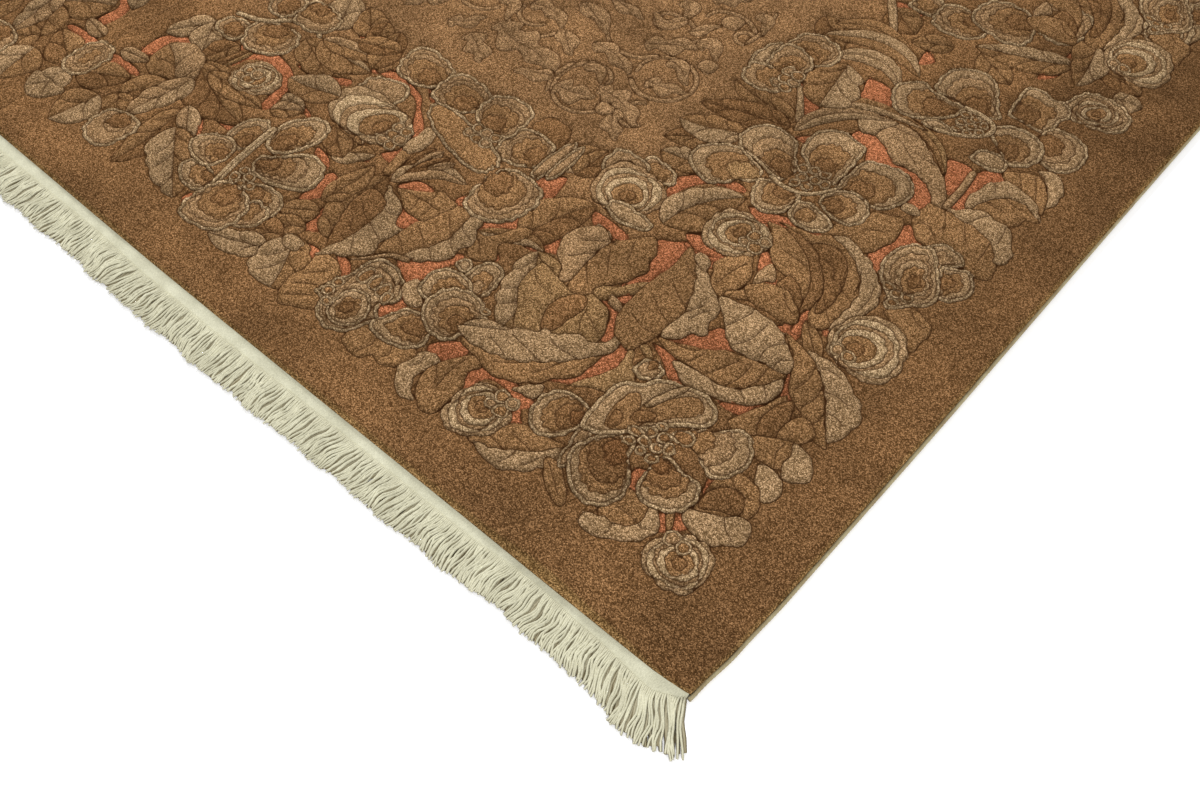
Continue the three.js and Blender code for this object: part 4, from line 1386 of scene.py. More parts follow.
groove_samples = np.vstack([dense for dense, depth in runs])
groove_depth = np.concatenate([np.full(len(dense), depth) for dense, depth in runs])
groove_tree = kdtree.KDTree(len(groove_samples))
for i, (x, y) in enumerate(groove_samples):
    groove_tree.insert((x, y, 0), i)
groove_tree.balance()


def nearest_groove(points):
    """distance to the nearest groove and that groove's depth"""
    found = [groove_tree.find((x, y, 0)) for x, y in points]
    far = np.array([f[2] for f in found])
    return far, groove_depth[np.array([f[1] for f in found])]


def sparse(dense):
    """fewer points on a dense line: close on tight bends, wide on straight stretches"""
    leg = np.diff(dense, axis=0)
    heading = np.unwrap(np.arctan2(leg[:, 1], leg[:, 0]))
    keep = [0]
    last = heading[0]
    for i in range(1, len(dense) - 1):
        away = (i - keep[-1]) * MAP_STEP
        bent = abs(heading[i] - last)
        if away >= LEG_LONGEST or (away >= LEG_SHORTEST and bent > TURN_LIMIT):
            keep.append(i)
            last = heading[i]
    if len(dense) - 1 - keep[-1] < LEG_SHORTEST and len(keep) > 1:
        keep.pop()
    keep.append(len(dense) - 1)
    return dense[keep]


def offsets(line, distance, every=1):
    """points beside a line, on both sides of every so many of its points"""
    part = slice(every - 1, None, every)
    side = left_of(line)[part] * distance
    return np.vstack([line[part] + side, line[part] - side])


net_points = []
net_edges = []
for dense, depth in runs:
    line = sparse(dense)
    first = sum(map(len, net_points))
    net_points.append(line)
    net_edges += [(first + i, first + i + 1) for i in range(len(line) - 1)]
groove_count = sum(map(len, net_points))

beside = np.vstack([offsets(p, SHOULDER) for p in net_points if len(p) > 1])
outer = np.vstack([offsets(p, SLOPE, 2) for p in net_points if len(p) > 2])
beside = beside[nearest_groove(beside)[0] > SHOULDER_CLEAR]
outer = outer[nearest_groove(outer)[0] > SLOPE_CLEAR]
print("points on grooves:", groove_count, " on shoulders:", len(beside), " on slopes:", len(outer))

# %% The edge of the pile and the plain wool between
EDGE_STEP = 4.0
EDGE_RAGGED = 0.9
EDGE_RINGS = [1.1, 2.6, 6.0]    # how far inside the edge rings of points lie
SEAM_STEP = 12.0
SEAM_CLEAR = 8.0
FILL_STEP = 22.0
FILL_CLEAR = 8.0
NET_SEED = 7

rng = np.random.default_rng(NET_SEED)


def outer_edge(inset, ragged):
    """the pile's edge from the middle of the end round the corner to the middle of the side"""
    corner_x = float(side_out(HALF_LENGTH)) - inset
    corner_y = float(end_out(corner_x)) - inset
    x = np.linspace(0, corner_x, int(corner_x / EDGE_STEP))
    y = np.linspace(-corner_y, 0, int(corner_y / EDGE_STEP))
    push = rng.uniform(-ragged, ragged, len(x))
    push[0] = push[-1] = 0
    end_line = np.column_stack([x, -(end_out(x) - inset) + push])
    push = rng.uniform(-ragged, ragged, len(y))
    push[0] = push[-1] = 0
    side_line = np.column_stack([side_out(y) - inset + push, y])
    return np.vstack([end_line, side_line[1:]])


def seam_points():
    """points on the two lines through the rug's middle where the quarters meet"""
    along_x = np.arange(SEAM_STEP, float(side_out(0)) - SEAM_CLEAR, SEAM_STEP)
    along_y = np.arange(SEAM_STEP, float(end_out(0)) - SEAM_CLEAR, SEAM_STEP)
    return (np.column_stack([along_x[::-1], np.zeros(len(along_x))]),
            np.column_stack([np.zeros(len(along_y)), -along_y]))


def fill_points():
    """an uneven grid of points on the plain wool, away from every groove and edge"""
    xs = np.arange(FILL_STEP / 2, HALF_WIDTH, FILL_STEP)
    ys = np.arange(-HALF_LENGTH - 10, -FILL_STEP / 2, FILL_STEP * 0.9)
    grid = np.array([(x, y) for y in ys for x in xs])
    grid = grid + rng.uniform(-0.3, 0.3, grid.shape) * FILL_STEP
    inside = (grid[:, 0] > SEAM_STEP / 2) & (grid[:, 1] < -SEAM_STEP / 2)
    grid = grid[inside & (edge_distance(grid) > EDGE_PLAIN + 2)]
    return grid[nearest_groove(grid)[0] > FILL_CLEAR]


side_seam, end_seam = seam_points()
rim = outer_edge(0.0, EDGE_RAGGED)
outline = np.vstack([rim, side_seam, np.zeros((1, 2)), end_seam])
rings = [outer_edge(inset, EDGE_RAGGED / 2)[1:-1] for inset in EDGE_RINGS]
rings = [ring[(ring[:, 0] > 2) & (ring[:, 1] < -2)] for ring in rings]
fill = fill_points()
grooves = np.vstack(net_points)
net = np.vstack([outline, grooves, beside, outer, fill] + rings)
edges = [(len(outline) + i, len(outline) + j) for i, j in net_edges]
print("points in the net:", len(net))

# %% Lay out the triangles
INSIDE_ONLY = 1         # of the ways to lay them out: none outside the outline
POINTS_MERGE = 1e-4

border = list(range(len(outline)))
laid_out = delaunay_2d_cdt([Vector(p) for p in net], edges, [border], INSIDE_ONLY, POINTS_MERGE, False)
flat_faces = laid_out[2]
plan = np.array([(p.x, p.y) for p in laid_out[0]])
print("triangles in one quarter's top:", len(flat_faces))

# %% [markdown]
# ## Heights and colours of the pile
# Each tone of wool was clipped to its own height: the coral ground lowest, the pale rims of the
# petals highest. Every groove is a narrow V, and the wool leans away from it, so a form rises
# quickly beside its outline and then stays softly domed. It could be sculpted by hand, but the
# height at a point follows from those facts, so it is worked out. Colours are kept in the mesh, one
# for each face, because they follow the pattern.

# %% Heights
GROOVE_FALL = 1.0      # mm over which a groove's wall fades out
PUFF = 1.3
PUFF_REACH = 7.0
PUFF_FADE = 60.0
WAVE = 0.35
WAVE_LENGTHS = (97.0, 131.0)
EDGE_HEIGHT = 7.5
EDGE_ROUND = 1.7
SOFT_GROOVE_SHADE = 0.68       # how strong the painted groove shade is in the shallowest groove, of 1 in the deepest


def blurred(grid, radius):
    """box blur along both axes"""
    for axis in (0, 1):
        total = np.cumsum(grid, axis=axis, dtype=np.float64)
        ahead = np.roll(total, -radius, axis)
        behind = np.roll(total, radius + 1, axis)
        grid = ((ahead - behind) / (2 * radius + 1)).astype(np.float32)
    return grid


tone_of_shape = np.array([0] + [TONES.index(tone) for _, tone in patches])
level_of_tone = np.array([LEVEL[tone] for tone in TONES], np.float32)
level_map = blurred(level_of_tone[tone_of_shape[shape_map]], 2)


def heights(points):
    """height of each point, and how far its nearest groove is and how deep"""
    far, depth = nearest_groove(points)
    puff = PUFF * (depth / LINE["deep"]) * (1 - np.exp(-far / PUFF_REACH)) * np.exp(-far / PUFF_FADE)
    level = level_map[map_squares(points, 4, 6)] + puff - depth * np.exp(-far / GROOVE_FALL)
    level = level + WAVE * np.cos(points[:, 0] / WAVE_LENGTHS[0]) * np.cos(points[:, 1] / WAVE_LENGTHS[1])
    edge = np.maximum(edge_distance(points), 0)
    return EDGE_HEIGHT + (level - EDGE_HEIGHT) * (1 - np.exp(-edge / EDGE_ROUND)), far, depth


top_height, groove_far, groove_deep = heights(plan)
# painted groove shade: full on a groove's middle line, fading out within about two millimetres, stronger in
# deeper grooves
carve = np.exp(-groove_far ** 2) * (SOFT_GROOVE_SHADE + 0.32 * groove_deep / LINE["deep"])
carve *= edge_distance(plan) > EDGE_PLAIN - 1
print("pile heights in mm:", round(float(top_height.min()), 1), "to", round(float(top_height.max()), 1))


# %% Where the wool turns lighter
PLAIN_GLOW = 0.75
NO_SPINE = (0, 0, 1, 1, 0, 1)


def glow_of(points):
    """0 on the darkest line of the shape at a point, 1 at its reach"""
    shape = shape_at(points)
    known = np.array([False] + [spine is not None for spine in spines])
    ends = np.array([NO_SPINE] + [spine or NO_SPINE for spine in spines], float)[shape]
    start = ends[:, 0:2]
    along = ends[:, 2:4] - start
    length = np.hypot(along[:, 0], along[:, 1])
    t = ((points - start) * along).sum(1) / length ** 2
    away = points - start
    off = (away[:, 1] * along[:, 0] - away[:, 0] * along[:, 1]) / length
    off = off - ends[:, 4] * 4 * t * (1 - t)
    share = np.clip(np.abs(off) / np.maximum(ends[:, 5], 4), 0, 1)
    return np.where(known[shape], share, PLAIN_GLOW)


glow = glow_of(plan)
print("glow from", round(float(glow.min()), 2), "to", round(float(glow.max()), 2))

# %% Close a top down to the floor
def closed_to_floor(shape, draw_in=None):
    """walls from the open border down to the floor and an underside; draw_in may move the foot"""
    border = [edge for edge in shape.edges if edge.is_boundary]
    wall = bmesh.ops.extrude_edge_only(shape, edges=border)["geom"]
    for item in wall:
        if isinstance(item, bmesh.types.BMVert):
            if draw_in:
                draw_in(item)
            item.co.z = 0
    foot = [item for item in wall if isinstance(item, bmesh.types.BMEdge) and item.is_boundary]
    bmesh.ops.triangle_fill(shape, edges=foot, use_beauty=False)
    bmesh.ops.recalc_face_normals(shape, faces=shape.faces)
    for edge in border:
        edge.smooth = False


def finished(shape, name):
    """the mesh of a shape, smooth but for its marked edges"""
    for face in shape.faces:
        face.smooth = True
    mesh = bpy.data.meshes.new(name)
    shape.to_mesh(mesh)
    shape.free()
    return mesh


# %% One quarter of the pile
FOOT_INSET = 1.2
FOOT_NEAR = 4.0         # only a point so near to the outer edge is drawn in


def draw_foot_in(vert):
    """the pile's foot stands in a little under its outer edge"""
    x, y = vert.co.x / MM, vert.co.y / MM
    at_side = side_out(y) - x < FOOT_NEAR
    at_end = end_out(x) + y < FOOT_NEAR
    vert.co.x = (x - FOOT_INSET * at_side) * MM
    vert.co.y = (y + FOOT_INSET * at_end) * MM


def pile_quarter():
    """the quarter between the middle and the corner towards +X and -Y"""
    shape = bmesh.new()
    # each point keeps its share of the painted groove shade
    carved = shape.verts.layers.float.new("carve")
    lit = shape.verts.layers.float.new("glow")
    verts = [shape.verts.new((x * MM, y * MM, z * MM)) for (x, y), z in zip(plan, top_height)]
    for vert, value, light in zip(verts, carve, glow):
        vert[carved] = float(value)
        vert[lit] = float(light)
    for face in flat_faces:
        shape.faces.new([verts[i] for i in face])
    closed_to_floor(shape, draw_foot_in)
    return finished(shape, "pile_quarter")


quarter = pile_quarter()
print("one quarter:", len(quarter.polygons), "triangles")

# %% [markdown]
# ## The dyes
# Hand-dyed wool is never one colour. Every tone below is written as the eye sees it under the
# lamps, from 0 to 255. Each patch strays a little from its tone, and the whole border
# shifts in slow bands, lighter at the end and darker up the side.
# At the pile's outer edge the paler backs of the knots show. A node could not know the pattern, so
# each face of the mesh keeps its tone, and the shader adds what is the same all over.

# %% Colours of the wool
PALETTE = {
    "ground": (136, 99, 63), "coral": (170, 106, 70), "light": (162, 130, 93), "taupe": (157, 123, 86),
    "tan": (145, 108, 70), "dark": (131, 95, 60), "rim": (180, 150, 111), "olive": (148, 114, 75),
    "deep": (122, 85, 52), "field": (155, 120, 83),
}
EDGE_TONE = (150, 116, 72)
FIELD_TONE = (142, 106, 70)
LAMP_GAIN = 1.68        # how much brighter than its own colour a level surface looks under these lamps
TONE_SPREAD = 0.05      # how much two patches of one wool differ
# from the end's middle over the corner to the side's middle: how light the border's plain wool is made
BORDER_BANDS = [(-1220, 0.93), (-500, 0.96), (-150, 0.87), (60, 0.78), (330, 0.87), (650, 0.8),
             (850, 0.68), (1525, 0.76)]
# the same for the wreath's forms
FORM_BANDS = [(-1220, 1.03), (-300, 1.03), (150, 1.01), (500, 0.94), (1525, 0.9)]
BORDER_WIDTH = 300.0
BORDER_FADE = 120.0
# where the field's own tone begins, in from the side and up from the end, and over what width
FIELD_IN, FIELD_UP, FIELD_FADE = 380, 330, 150
EDGE_TONE_WIDTH = 4.5


def linear(colour):
    """a colour of 0 to 255 as the eye sees it, as light for a shader"""
    c = np.asarray(colour, float) / 255
    return np.where(c <= 0.04045, c / 12.92, ((c + 0.055) / 1.055) ** 2.4) / LAMP_GAIN


def mixed(first, second, share):
    return first * (1 - share)[:, None] + second * share[:, None]


def colour_faces(mesh):
    """each face takes the tone of the shape under its middle"""
    count = len(mesh.polygons)
    middle = np.zeros(count * 3)
    mesh.polygons.foreach_get("center", middle)
    middle = middle.reshape(-1, 3)[:, :2] / MM
    shape = shape_at(middle)
    shape[edge_distance(middle) < EDGE_PLAIN] = 0
    plain = shape == 0
    tones = np.array([linear(PALETTE[tone]) for tone in TONES])
    stray = [0.0] + [2 * wander((k * 0.37, k * 1.91), 3) - 1 for k in range(1, len(patches) + 1)]
    colour = tones[tone_of_shape[shape]] * (1 + TONE_SPREAD * np.array(stray))[shape][:, None]
    from_side, from_end = HALF_WIDTH - middle[:, 0], HALF_LENGTH + middle[:, 1]
    along = from_end - from_side
    in_border = np.clip((BORDER_WIDTH - np.minimum(from_side, from_end)) / BORDER_FADE, 0, 1)
    border_shift = 1 + (between(BORDER_BANDS, along) - 1) * in_border
    colour = colour * np.where(plain, border_shift, between(FORM_BANDS, along))[:, None]
    in_field = np.clip(np.minimum(from_side - FIELD_IN, from_end - FIELD_UP) / FIELD_FADE, 0, 1) * plain
    colour = mixed(colour, linear(FIELD_TONE), in_field)
    at_edge = np.clip(1 - edge_distance(middle) / EDGE_TONE_WIDTH, 0, 1)
    colour = mixed(colour, linear(EDGE_TONE), at_edge)
    layer = mesh.attributes.new("tone", "FLOAT_COLOR", "FACE")
    layer.data.foreach_set("color", np.column_stack([colour, np.ones(count)]).ravel())


colour_faces(quarter)
print("tones in the mesh:", len(PALETTE))

# %% [markdown]
# ## The wool
# Clipped wool pile is thousands of cut yarn ends standing side by side. From a step away it reads
# as a fine matt grain, with soft clouds where the pile leans another way, and it looks darkest down
# in the grooves, where shade falls. Real strands would be millions of faces, so the grain is one
# random value for each knot, the clouds are slow noise, and the shade in the grooves is painted into
# the colour from a mask that comes from the mesh.

# %% Material helpers
# a Mix node has sockets for colours under these numbers, because it uses their names three times
MIX_FIRST, MIX_SECOND, MIX_RESULT = 6, 7, 2


def feed(tree, value, socket):
    """a number, a colour or another node's output into a socket"""
    if isinstance(value, (int, float, tuple)):
        socket.default_value = value
    else:
        tree.links.new(value, socket)


def node(tree, kind, settings=None, **sockets):
    """a new node with its settings and what goes into its sockets"""
    made = tree.nodes.new(kind)
    for key, value in (settings or {}).items():
        setattr(made, key, value)
    for key, value in sockets.items():
        feed(tree, value, made.inputs[key.replace("_", " ")])
    return made


def on_piece(tree):
    return node(tree, "ShaderNodeTexCoord").outputs["Object"]


def object_noise(tree, scale, detail=2.0, stretch=(1, 1, 1)):
    """noise fixed to the piece, as a value from 0 to 1"""
    where = node(tree, "ShaderNodeMapping", Vector=on_piece(tree), Scale=stretch).outputs["Vector"]
    return node(tree, "ShaderNodeTexNoise", Vector=where, Scale=scale, Detail=detail).outputs["Fac"]


def spread_to(tree, value, low, high, start=0.3, stop=0.7):
    """a value stretched from start..stop to low..high"""
    made = node(tree, "ShaderNodeMapRange", Value=value, From_Min=start, From_Max=stop, To_Min=low,
                To_Max=high)
    return made.outputs["Result"]


def reckoned(tree, operation, first, second):
    made = node(tree, "ShaderNodeMath", {"operation": operation})
    feed(tree, first, made.inputs[0])
    feed(tree, second, made.inputs[1])
    return made.outputs["Value"]


def shaded(tree, colour, value):
    """a colour made lighter or darker by a value round 1"""
    made = node(tree, "ShaderNodeVectorMath", {"operation": "SCALE"}, Vector=colour, Scale=value)
    return made.outputs["Vector"]


def blended(tree, amount, first, second):
    """first colour turning into the second as the amount goes to 1"""
    made = node(tree, "ShaderNodeMix", {"data_type": "RGBA"})
    feed(tree, amount, made.inputs["Factor"])
    feed(tree, first, made.inputs[MIX_FIRST])
    feed(tree, second, made.inputs[MIX_SECOND])
    return made.outputs[MIX_RESULT]


def roughened(tree, skin, height, strength):
    bump = node(tree, "ShaderNodeBump", Strength=strength, Distance=0.0008, Height=height)
    feed(tree, bump.outputs["Normal"], skin.inputs["Normal"])


# %% Wool pile material
GRAIN_SCALE = 860.0     # knots to the metre
CLOUD_SCALE = 9.0
# how much paler the palest knots are than the mean, in red, green and blue
GRAIN_BASE = (3.0, 3.25, 3.8)
# the colour of the painted shade down in the grooves
GROOVE_SHADE = (0.034, 0.014, 0.005, 1)


def grain_colour(tree, value):
    """a factor round 1 in each channel: a dark speck is also a deeper brown"""
    channels = {axis: reckoned(tree, "POWER", base, value) for axis, base in zip("XYZ", GRAIN_BASE)}
    return node(tree, "ShaderNodeCombineXYZ", **channels).outputs["Vector"]


def knot_specks(tree, grain):
    """-1 on the darkest knots to 1 on the palest, darker towards a knot's edge"""
    knots = node(tree, "ShaderNodeTexVoronoi", Vector=on_piece(tree), Scale=GRAIN_SCALE)
    split = node(tree, "ShaderNodeSeparateColor", Color=knots.outputs["Color"])
    own = spread_to(tree, split.outputs["Red"], -0.9, 0.8, 0, 1)
    edge = spread_to(tree, knots.outputs["Distance"], 0.3, -0.4, 0, 0.8)
    return reckoned(tree, "ADD", reckoned(tree, "ADD", own, edge), spread_to(tree, grain, -0.2, 0.2))


def wool_pile():
    material, tree, skin = new_material("wool_pile", roughness=0.95, gloss=0.0)
    tone, carved, lit = [node(tree, "ShaderNodeAttribute", {"attribute_name": layer})
                         for layer in ("tone", "carve", "glow")]
    grain = object_noise(tree, GRAIN_SCALE * 1.5, detail=1.0)
    tuft = object_noise(tree, GRAIN_SCALE / 12, detail=3.0)
    cloud = object_noise(tree, CLOUD_SCALE, detail=3.0, stretch=(1, 1.3, 1))
    tuft, cloud = spread_to(tree, tuft, 0.96, 1.04), spread_to(tree, cloud, 0.74, 1.21)
    light = reckoned(tree, "MULTIPLY", tuft, cloud)
    light = reckoned(tree, "MULTIPLY", light, spread_to(tree, lit.outputs["Fac"], 0.84, 1.1, 0, 1))
    colour = shaded(tree, tone.outputs["Color"], light)
    speckled = node(tree, "ShaderNodeVectorMath", {"operation": "MULTIPLY"})
    feed(tree, colour, speckled.inputs[0])
    feed(tree, grain_colour(tree, knot_specks(tree, grain)), speckled.inputs[1])
    # painted shade down in the grooves: the colour turns towards GROOVE_SHADE by the groove mask
    down = reckoned(tree, "POWER", carved.outputs["Fac"], 1.5)
    colour = blended(tree, down, speckled.outputs["Vector"], GROOVE_SHADE)
    feed(tree, colour, skin.inputs["Base Color"])
    roughened(tree, skin, grain, 0.6)
    return material


wool = wool_pile()
print("material:", wool.name, "with", len(wool.node_tree.nodes), "nodes")

# %% [markdown]
# ## Four quarters, one rug
# The pattern is the same in each quarter, turned over at both middle lines, so one quarter is
# carved and three are mirrored. They meet edge to edge on the middle lines and stay four pieces,
# because one mesh of the whole pile would be heavier than a piece may be. The surface is level
# where they meet, so no seam shows. Mirroring turns a mesh inside out, so its faces are turned back.

# %% Lay the quarters
# which way each end and side lies
ENDS = {"front": -1, "back": 1}
SIDES = {"right": 1, "left": -1}


def lay(name, mesh, material, slot, *nodes):
    """put a finished mesh in the scene, riding on the rug, in place of its solids"""
    mesh.name = name
    mesh.materials.clear()
    mesh.materials.append(material)
    piece = in_scene(name, mesh)
    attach(piece, "root")
    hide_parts(*nodes)
    return piece


quarters = []
for end, toward_end in ENDS.items():
    for side, toward_side in SIDES.items():
        mesh = quarter.copy()
        mesh.transform(Matrix.Diagonal((toward_side, -toward_end, 1, 1)))
        if toward_side == toward_end:
            mesh.flip_normals()
        quarters.append(lay(f"pile_{end}_{side}", mesh, wool, "pile", "pile_body"))
print("quarters:", [piece.name for piece in quarters])

# %% [markdown]
# ## Selvedges
# Along each long side the outer warps are bundled and wrapped with yarn into a cord about 5 mm
# thick. It lies on the floor beside the pile and runs on past the corner, along the cotton strip.
# A helix of real yarn would need a hundred times the faces. So a long grid is rolled round the line
# of the side, and the wraps stand out of it as slanted turns.

# %% Selvedge cords
SELVEDGE_WIDTH = 5.0
SELVEDGE_HEIGHT = 6.0
SELVEDGE_AROUND = 10
WRAP_PITCH = 4.4
WRAP_RISE = 0.28
PIECE_GAP = 0.3
YARN_TONES = ((0.25, 0.19, 0.10, 1), (0.36, 0.31, 0.18, 1))
# the colour of the painted shadow low down between and under the fringe strands
STRAND_SHADOW = (0.18, 0.145, 0.075, 1)
SELVEDGE_PAST = 4.0      # how far the cord runs on past the pile's corner


def selvedge(sign):
    reach = float(end_out(side_out(HALF_LENGTH))) + SELVEDGE_PAST
    turns = int(2 * reach / (WRAP_PITCH / 2))
    shape = bmesh.new()
    bmesh.ops.create_grid(shape, x_segments=turns, y_segments=SELVEDGE_AROUND, size=0.5)
    for vert in shape.verts:
        y = vert.co.x * 2 * reach
        around = vert.co.y * 2 * math.pi
        step = round((vert.co.x + 0.5) * turns)
        rise = WRAP_RISE * math.cos(math.pi * step + 0.6 * around)
        middle = float(side_out(y)) + SELVEDGE_WIDTH / 2 - PIECE_GAP
        across = (SELVEDGE_WIDTH / 2 - PIECE_GAP / 2 + rise * 0.5) * math.cos(around)
        up = SELVEDGE_HEIGHT / 2 + (SELVEDGE_HEIGHT / 2 + rise * 0.7) * math.sin(around)
        vert.co = (sign * (middle + across) * MM, y * MM, max(up, 0) * MM)
    bmesh.ops.remove_doubles(shape, verts=shape.verts, dist=1e-6)
    ends = [edge for edge in shape.edges if edge.is_boundary]
    bmesh.ops.holes_fill(shape, edges=ends, sides=0)
    bmesh.ops.recalc_face_normals(shape, faces=shape.faces)
    return finished(shape, "selvedge")


def spun(name, tones, patches, fibres, shades, deep=None):
    """yarn in patches of two tones; fibres is its fine noise, and shades what that makes of the tone;
    between the two heights of deep, in mm, the yarn comes out of the shadow"""
    material, tree, skin = new_material(name, roughness=0.9, gloss=0.2)
    soft = object_noise(tree, patches, detail=3.0)
    fine = object_noise(tree, **fibres)
    colour = blended(tree, spread_to(tree, soft, 0, 1), *tones)
    if deep:
        split = node(tree, "ShaderNodeSeparateXYZ", Vector=on_piece(tree))
        height = spread_to(tree, split.outputs["Z"], 0, 1, deep[0] * MM, deep[1] * MM)
        colour = blended(tree, height, STRAND_SHADOW, colour)
    feed(tree, shaded(tree, colour, spread_to(tree, fine, *shades)), skin.inputs["Base Color"])
    roughened(tree, skin, fine, 0.5)
    return material


yarn = spun("overcast_yarn", YARN_TONES, 60.0, {"scale": 900.0, "stretch": (1, 2.5, 1)}, (0.75, 1.2))
selvedges = [lay(f"selvedge_cord_{side}", selvedge(sign), yarn, "selvedge", f"selvedge_{side}")
             for side, sign in SIDES.items()]
print("selvedge:", len(selvedges[0].data.polygons), "faces")

# %% [markdown]
# ## Cotton ends
# Between the pile and the free warps the weaver left a strip of plain weave, 18 mm wide, so that no
# knot can slip out. It is denser than the warps and lies slightly puffed, highest at the pile. A
# grid takes the shape of the strip, following the wandering end of the pile, and is closed down to
# the floor. At the corner it narrows to a point.

# %% Cotton strips
KILIM_WIDTH = 18.0
STRIP_ALONG = 420
STRIP_ACROSS = 6
PILE_OVERHANG = 0.8
# share of the way from the pile to the fringe: height
STRIP_PROFILE = [(0, 7.6), (0.3, 5.2), (0.75, 3.3), (1, 1.9)]
# distance in from the strip's end: its width
STRIP_TAPER = [(0, 4), (9, 11), (34, KILIM_WIDTH)]


def pile_side(x):
    """the strip's edge at the pile"""
    return end_out(x) - PILE_OVERHANG + PIECE_GAP


def strip_reach():
    """how far the strip goes on each side of the middle"""
    return float(side_out(HALF_LENGTH + KILIM_WIDTH)) - PIECE_GAP


def strip_width(x):
    return between(STRIP_TAPER, strip_reach() - np.abs(x))


def cotton_strip(sign):
    reach = strip_reach()
    shape = bmesh.new()
    bmesh.ops.create_grid(shape, x_segments=STRIP_ALONG, y_segments=STRIP_ACROSS, size=0.5)
    for vert in shape.verts:
        x = vert.co.x * 2 * reach
        share = vert.co.y + 0.5
        y = float(pile_side(x)) + share * float(strip_width(x))
        height = float(between(STRIP_PROFILE, share))
        ripple = 0.25 * math.sin(x / 7.0) * math.sin(x / 41.0 + 1) * math.sin(math.pi * share)
        vert.co = (x * MM, sign * y * MM, (height + ripple) * MM)
    closed_to_floor(shape)
    return finished(shape, "cotton_strip")


STRIP_TONES = ((0.45, 0.435, 0.315, 1), (0.55, 0.535, 0.40, 1))
COTTON = (45.0, {"scale": 420.0, "detail": 1.0, "stretch": (2.2, 1, 1)}, (0.88, 1.08))

weave = spun("cotton_weave", STRIP_TONES, *COTTON)
strips = [lay(f"cotton_strip_{end}", cotton_strip(sign), weave, "fringe", f"fringed_end_{end}")
          for end, sign in ENDS.items()]
print("strip:", len(strips[0].data.polygons), "faces")

# %% [markdown]
# ## Fringe
# The warps leave the strip some 2 mm apart and lie loose on the floor. They lean in groups, curl
# together, cross here and there, and fan out at the corner. A particle system could scatter them,
# but these lean and curl in an order that a slow random walk along the end gives directly. Below
# them lies a flat, wider layer, so no floor shows between. Each layer is one curve with a spline
# for every strand and a small square section. The lower a strand lies, the darker it is painted: a
# painted shade for the shadow down between and under the strands.

# %% Fringe strands
# half is a strand's half thickness, long its share of the full length, stray how much it strays
UNDER_LAYER = {"count": 1150, "steps": 5, "half": 2.3, "flat": 0.5, "long": 0.94, "stray": 0.3}
UPPER_LAYER = {"count": 1240, "steps": 8, "half": 1.4, "flat": 1.0, "long": 1.0, "stray": 1.0}
STRAND_TONES = ((0.45, 0.43, 0.31, 1), (0.56, 0.54, 0.40, 1))
STRAND_DEEP = (1.6, 3.4)    # mm over the floor: darkest, and fully in the light
UPPER_GAP = 2.5             # mm from the floor to the middle of an upper strand
FRINGE_SEEDS = {"front": 11, "back": 31}
# distance in from the side: length of the strands
FRINGE_LENGTH = [(0, 63), (34, 58), (80, 49), (150, 45), (1220, 45)]
# distance in from the side: how far a strand's tip leans towards the corner
LEAN = [(0, 40), (22, 33), (60, 22), (130, 14), (200, 1), (300, 5), (380, -4), (500, -7), (640, 3),
        (740, 6), (840, -6), (930, 5), (1010, 1), (1110, -5), (1220, 0)]


def slow_random(count, spacing, rng):
    """random values that change slowly along the fringe"""
    knots = rng.uniform(-1, 1, int(count / spacing) + 3)
    return np.interp(np.arange(count) / spacing, np.arange(len(knots)), knots)


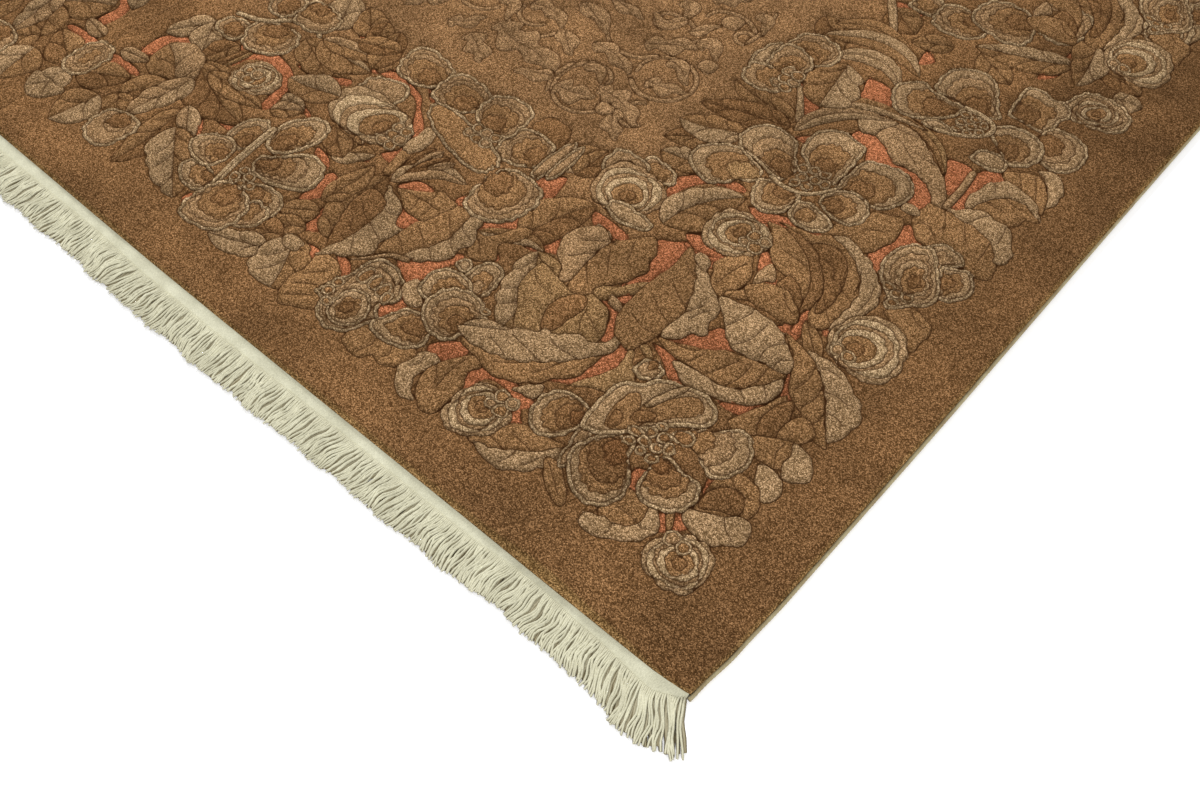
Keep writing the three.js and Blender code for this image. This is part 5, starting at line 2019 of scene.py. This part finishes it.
def strand_lines(sign, seed, count, steps, half, flat, long, stray):
    """points of every strand of a layer"""
    lowest = half if flat < 1 else UPPER_GAP
    rng = np.random.default_rng(seed)
    reach = strip_reach() - 1.2
    clump = slow_random(count, 9, rng) * 1.7
    crowd = slow_random(count, 32, rng) * 6.0
    curl = slow_random(count, 13, rng) * 3.4 * stray
    turn = slow_random(count, 17, rng) * 2.6
    made = []
    for i in range(count):
        x = -reach + 2 * reach * (i + 0.5) / count
        root = float(pile_side(x)) + float(strip_width(x)) - 1.5
        lean = math.copysign(1, x) * float(between(LEAN, HALF_WIDTH - abs(x)))
        lean += (clump[i] + crowd[i] + rng.normal(0, 1.15)) * stray
        length = float(between(FRINGE_LENGTH, HALF_WIDTH - abs(x))) * long
        length *= 0.99 + 0.05 * math.sin(x / 12) * math.sin(x / 43) + rng.normal(0, 0.028)
        drop = math.sqrt(max((length + 1.5) ** 2 - lean ** 2, 100))
        bent = rng.normal(0, 2.2) * stray
        kink = rng.uniform(0, 2 * math.pi)
        lift = rng.uniform(0.0, 1.3) * stray
        points = []
        for t in np.linspace(0, 1, steps):
            across = x + lean * t ** 1.25 + bent * math.sin(math.pi * t)
            across += math.sin(9 * t + kink) * min(1, 3 * t)
            across += curl[i] * (math.sin(6.5 * t + turn[i]) - math.sin(turn[i])) * min(1, 2 * t)
            up = lowest + 0.25 * (1 - t) + lift * math.sin(math.pi * min(1, t * 1.1)) ** 2
            points.append((across, sign * (root + drop * t), up))
        made.append(points)
    return made


def strand_mesh(strands, half, flat):
    data = bpy.data.curves.new("fringe_lines", "CURVE")
    data.dimensions = "3D"
    data.bevel_depth = half * MM
    data.bevel_resolution = 0
    data.use_fill_caps = True
    for points in strands:
        line = data.splines.new("POLY")
        line.points.add(len(points) - 1)
        for spot, (x, y, z) in zip(line.points, points):
            spot.co = (x * MM, y * MM, z * MM, 1)
        line.points[-1].radius = 0.8
    holder = in_scene("fringe_lines", data)
    shown = holder.evaluated_get(bpy.context.evaluated_depsgraph_get())
    mesh = bpy.data.meshes.new_from_object(shown)
    bpy.data.objects.remove(holder)
    mesh.transform(Matrix.Diagonal((1, 1, flat, 1)))
    return mesh


def fringe(sign, seed):
    joined = bmesh.new()
    for k, layer in enumerate((UNDER_LAYER, UPPER_LAYER)):
        strands = strand_lines(sign, seed + k, **layer)
        mesh = strand_mesh(strands, layer["half"], layer["flat"])
        joined.from_mesh(mesh)
        bpy.data.meshes.remove(mesh)
    mesh = bpy.data.meshes.new("fringe")
    joined.to_mesh(mesh)
    joined.free()
    return mesh


warps = spun("cotton_strands", STRAND_TONES, *COTTON, STRAND_DEEP)
fringes = [lay(f"fringe_{end}", fringe(sign, FRINGE_SEEDS[end]), warps, "fringe", f"fringed_end_{end}")
           for end, sign in ENDS.items()]
print("fringe:", len(fringes[0].data.polygons), "faces")

# %% [markdown]
# ## The quarters' ends and sides
# Each quarter's name is split into the end and the side it lies at.

for piece in quarters:
    end, side = piece.name.split("_")[1:]

# %% Write the sizes and finish
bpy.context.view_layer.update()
for piece in quarters[:1] + selvedges[:1] + strips[:1] + fringes[:1]:
    piece.data.calc_loop_triangles()
    print(piece.name, len(piece.data.loop_triangles), "triangles")
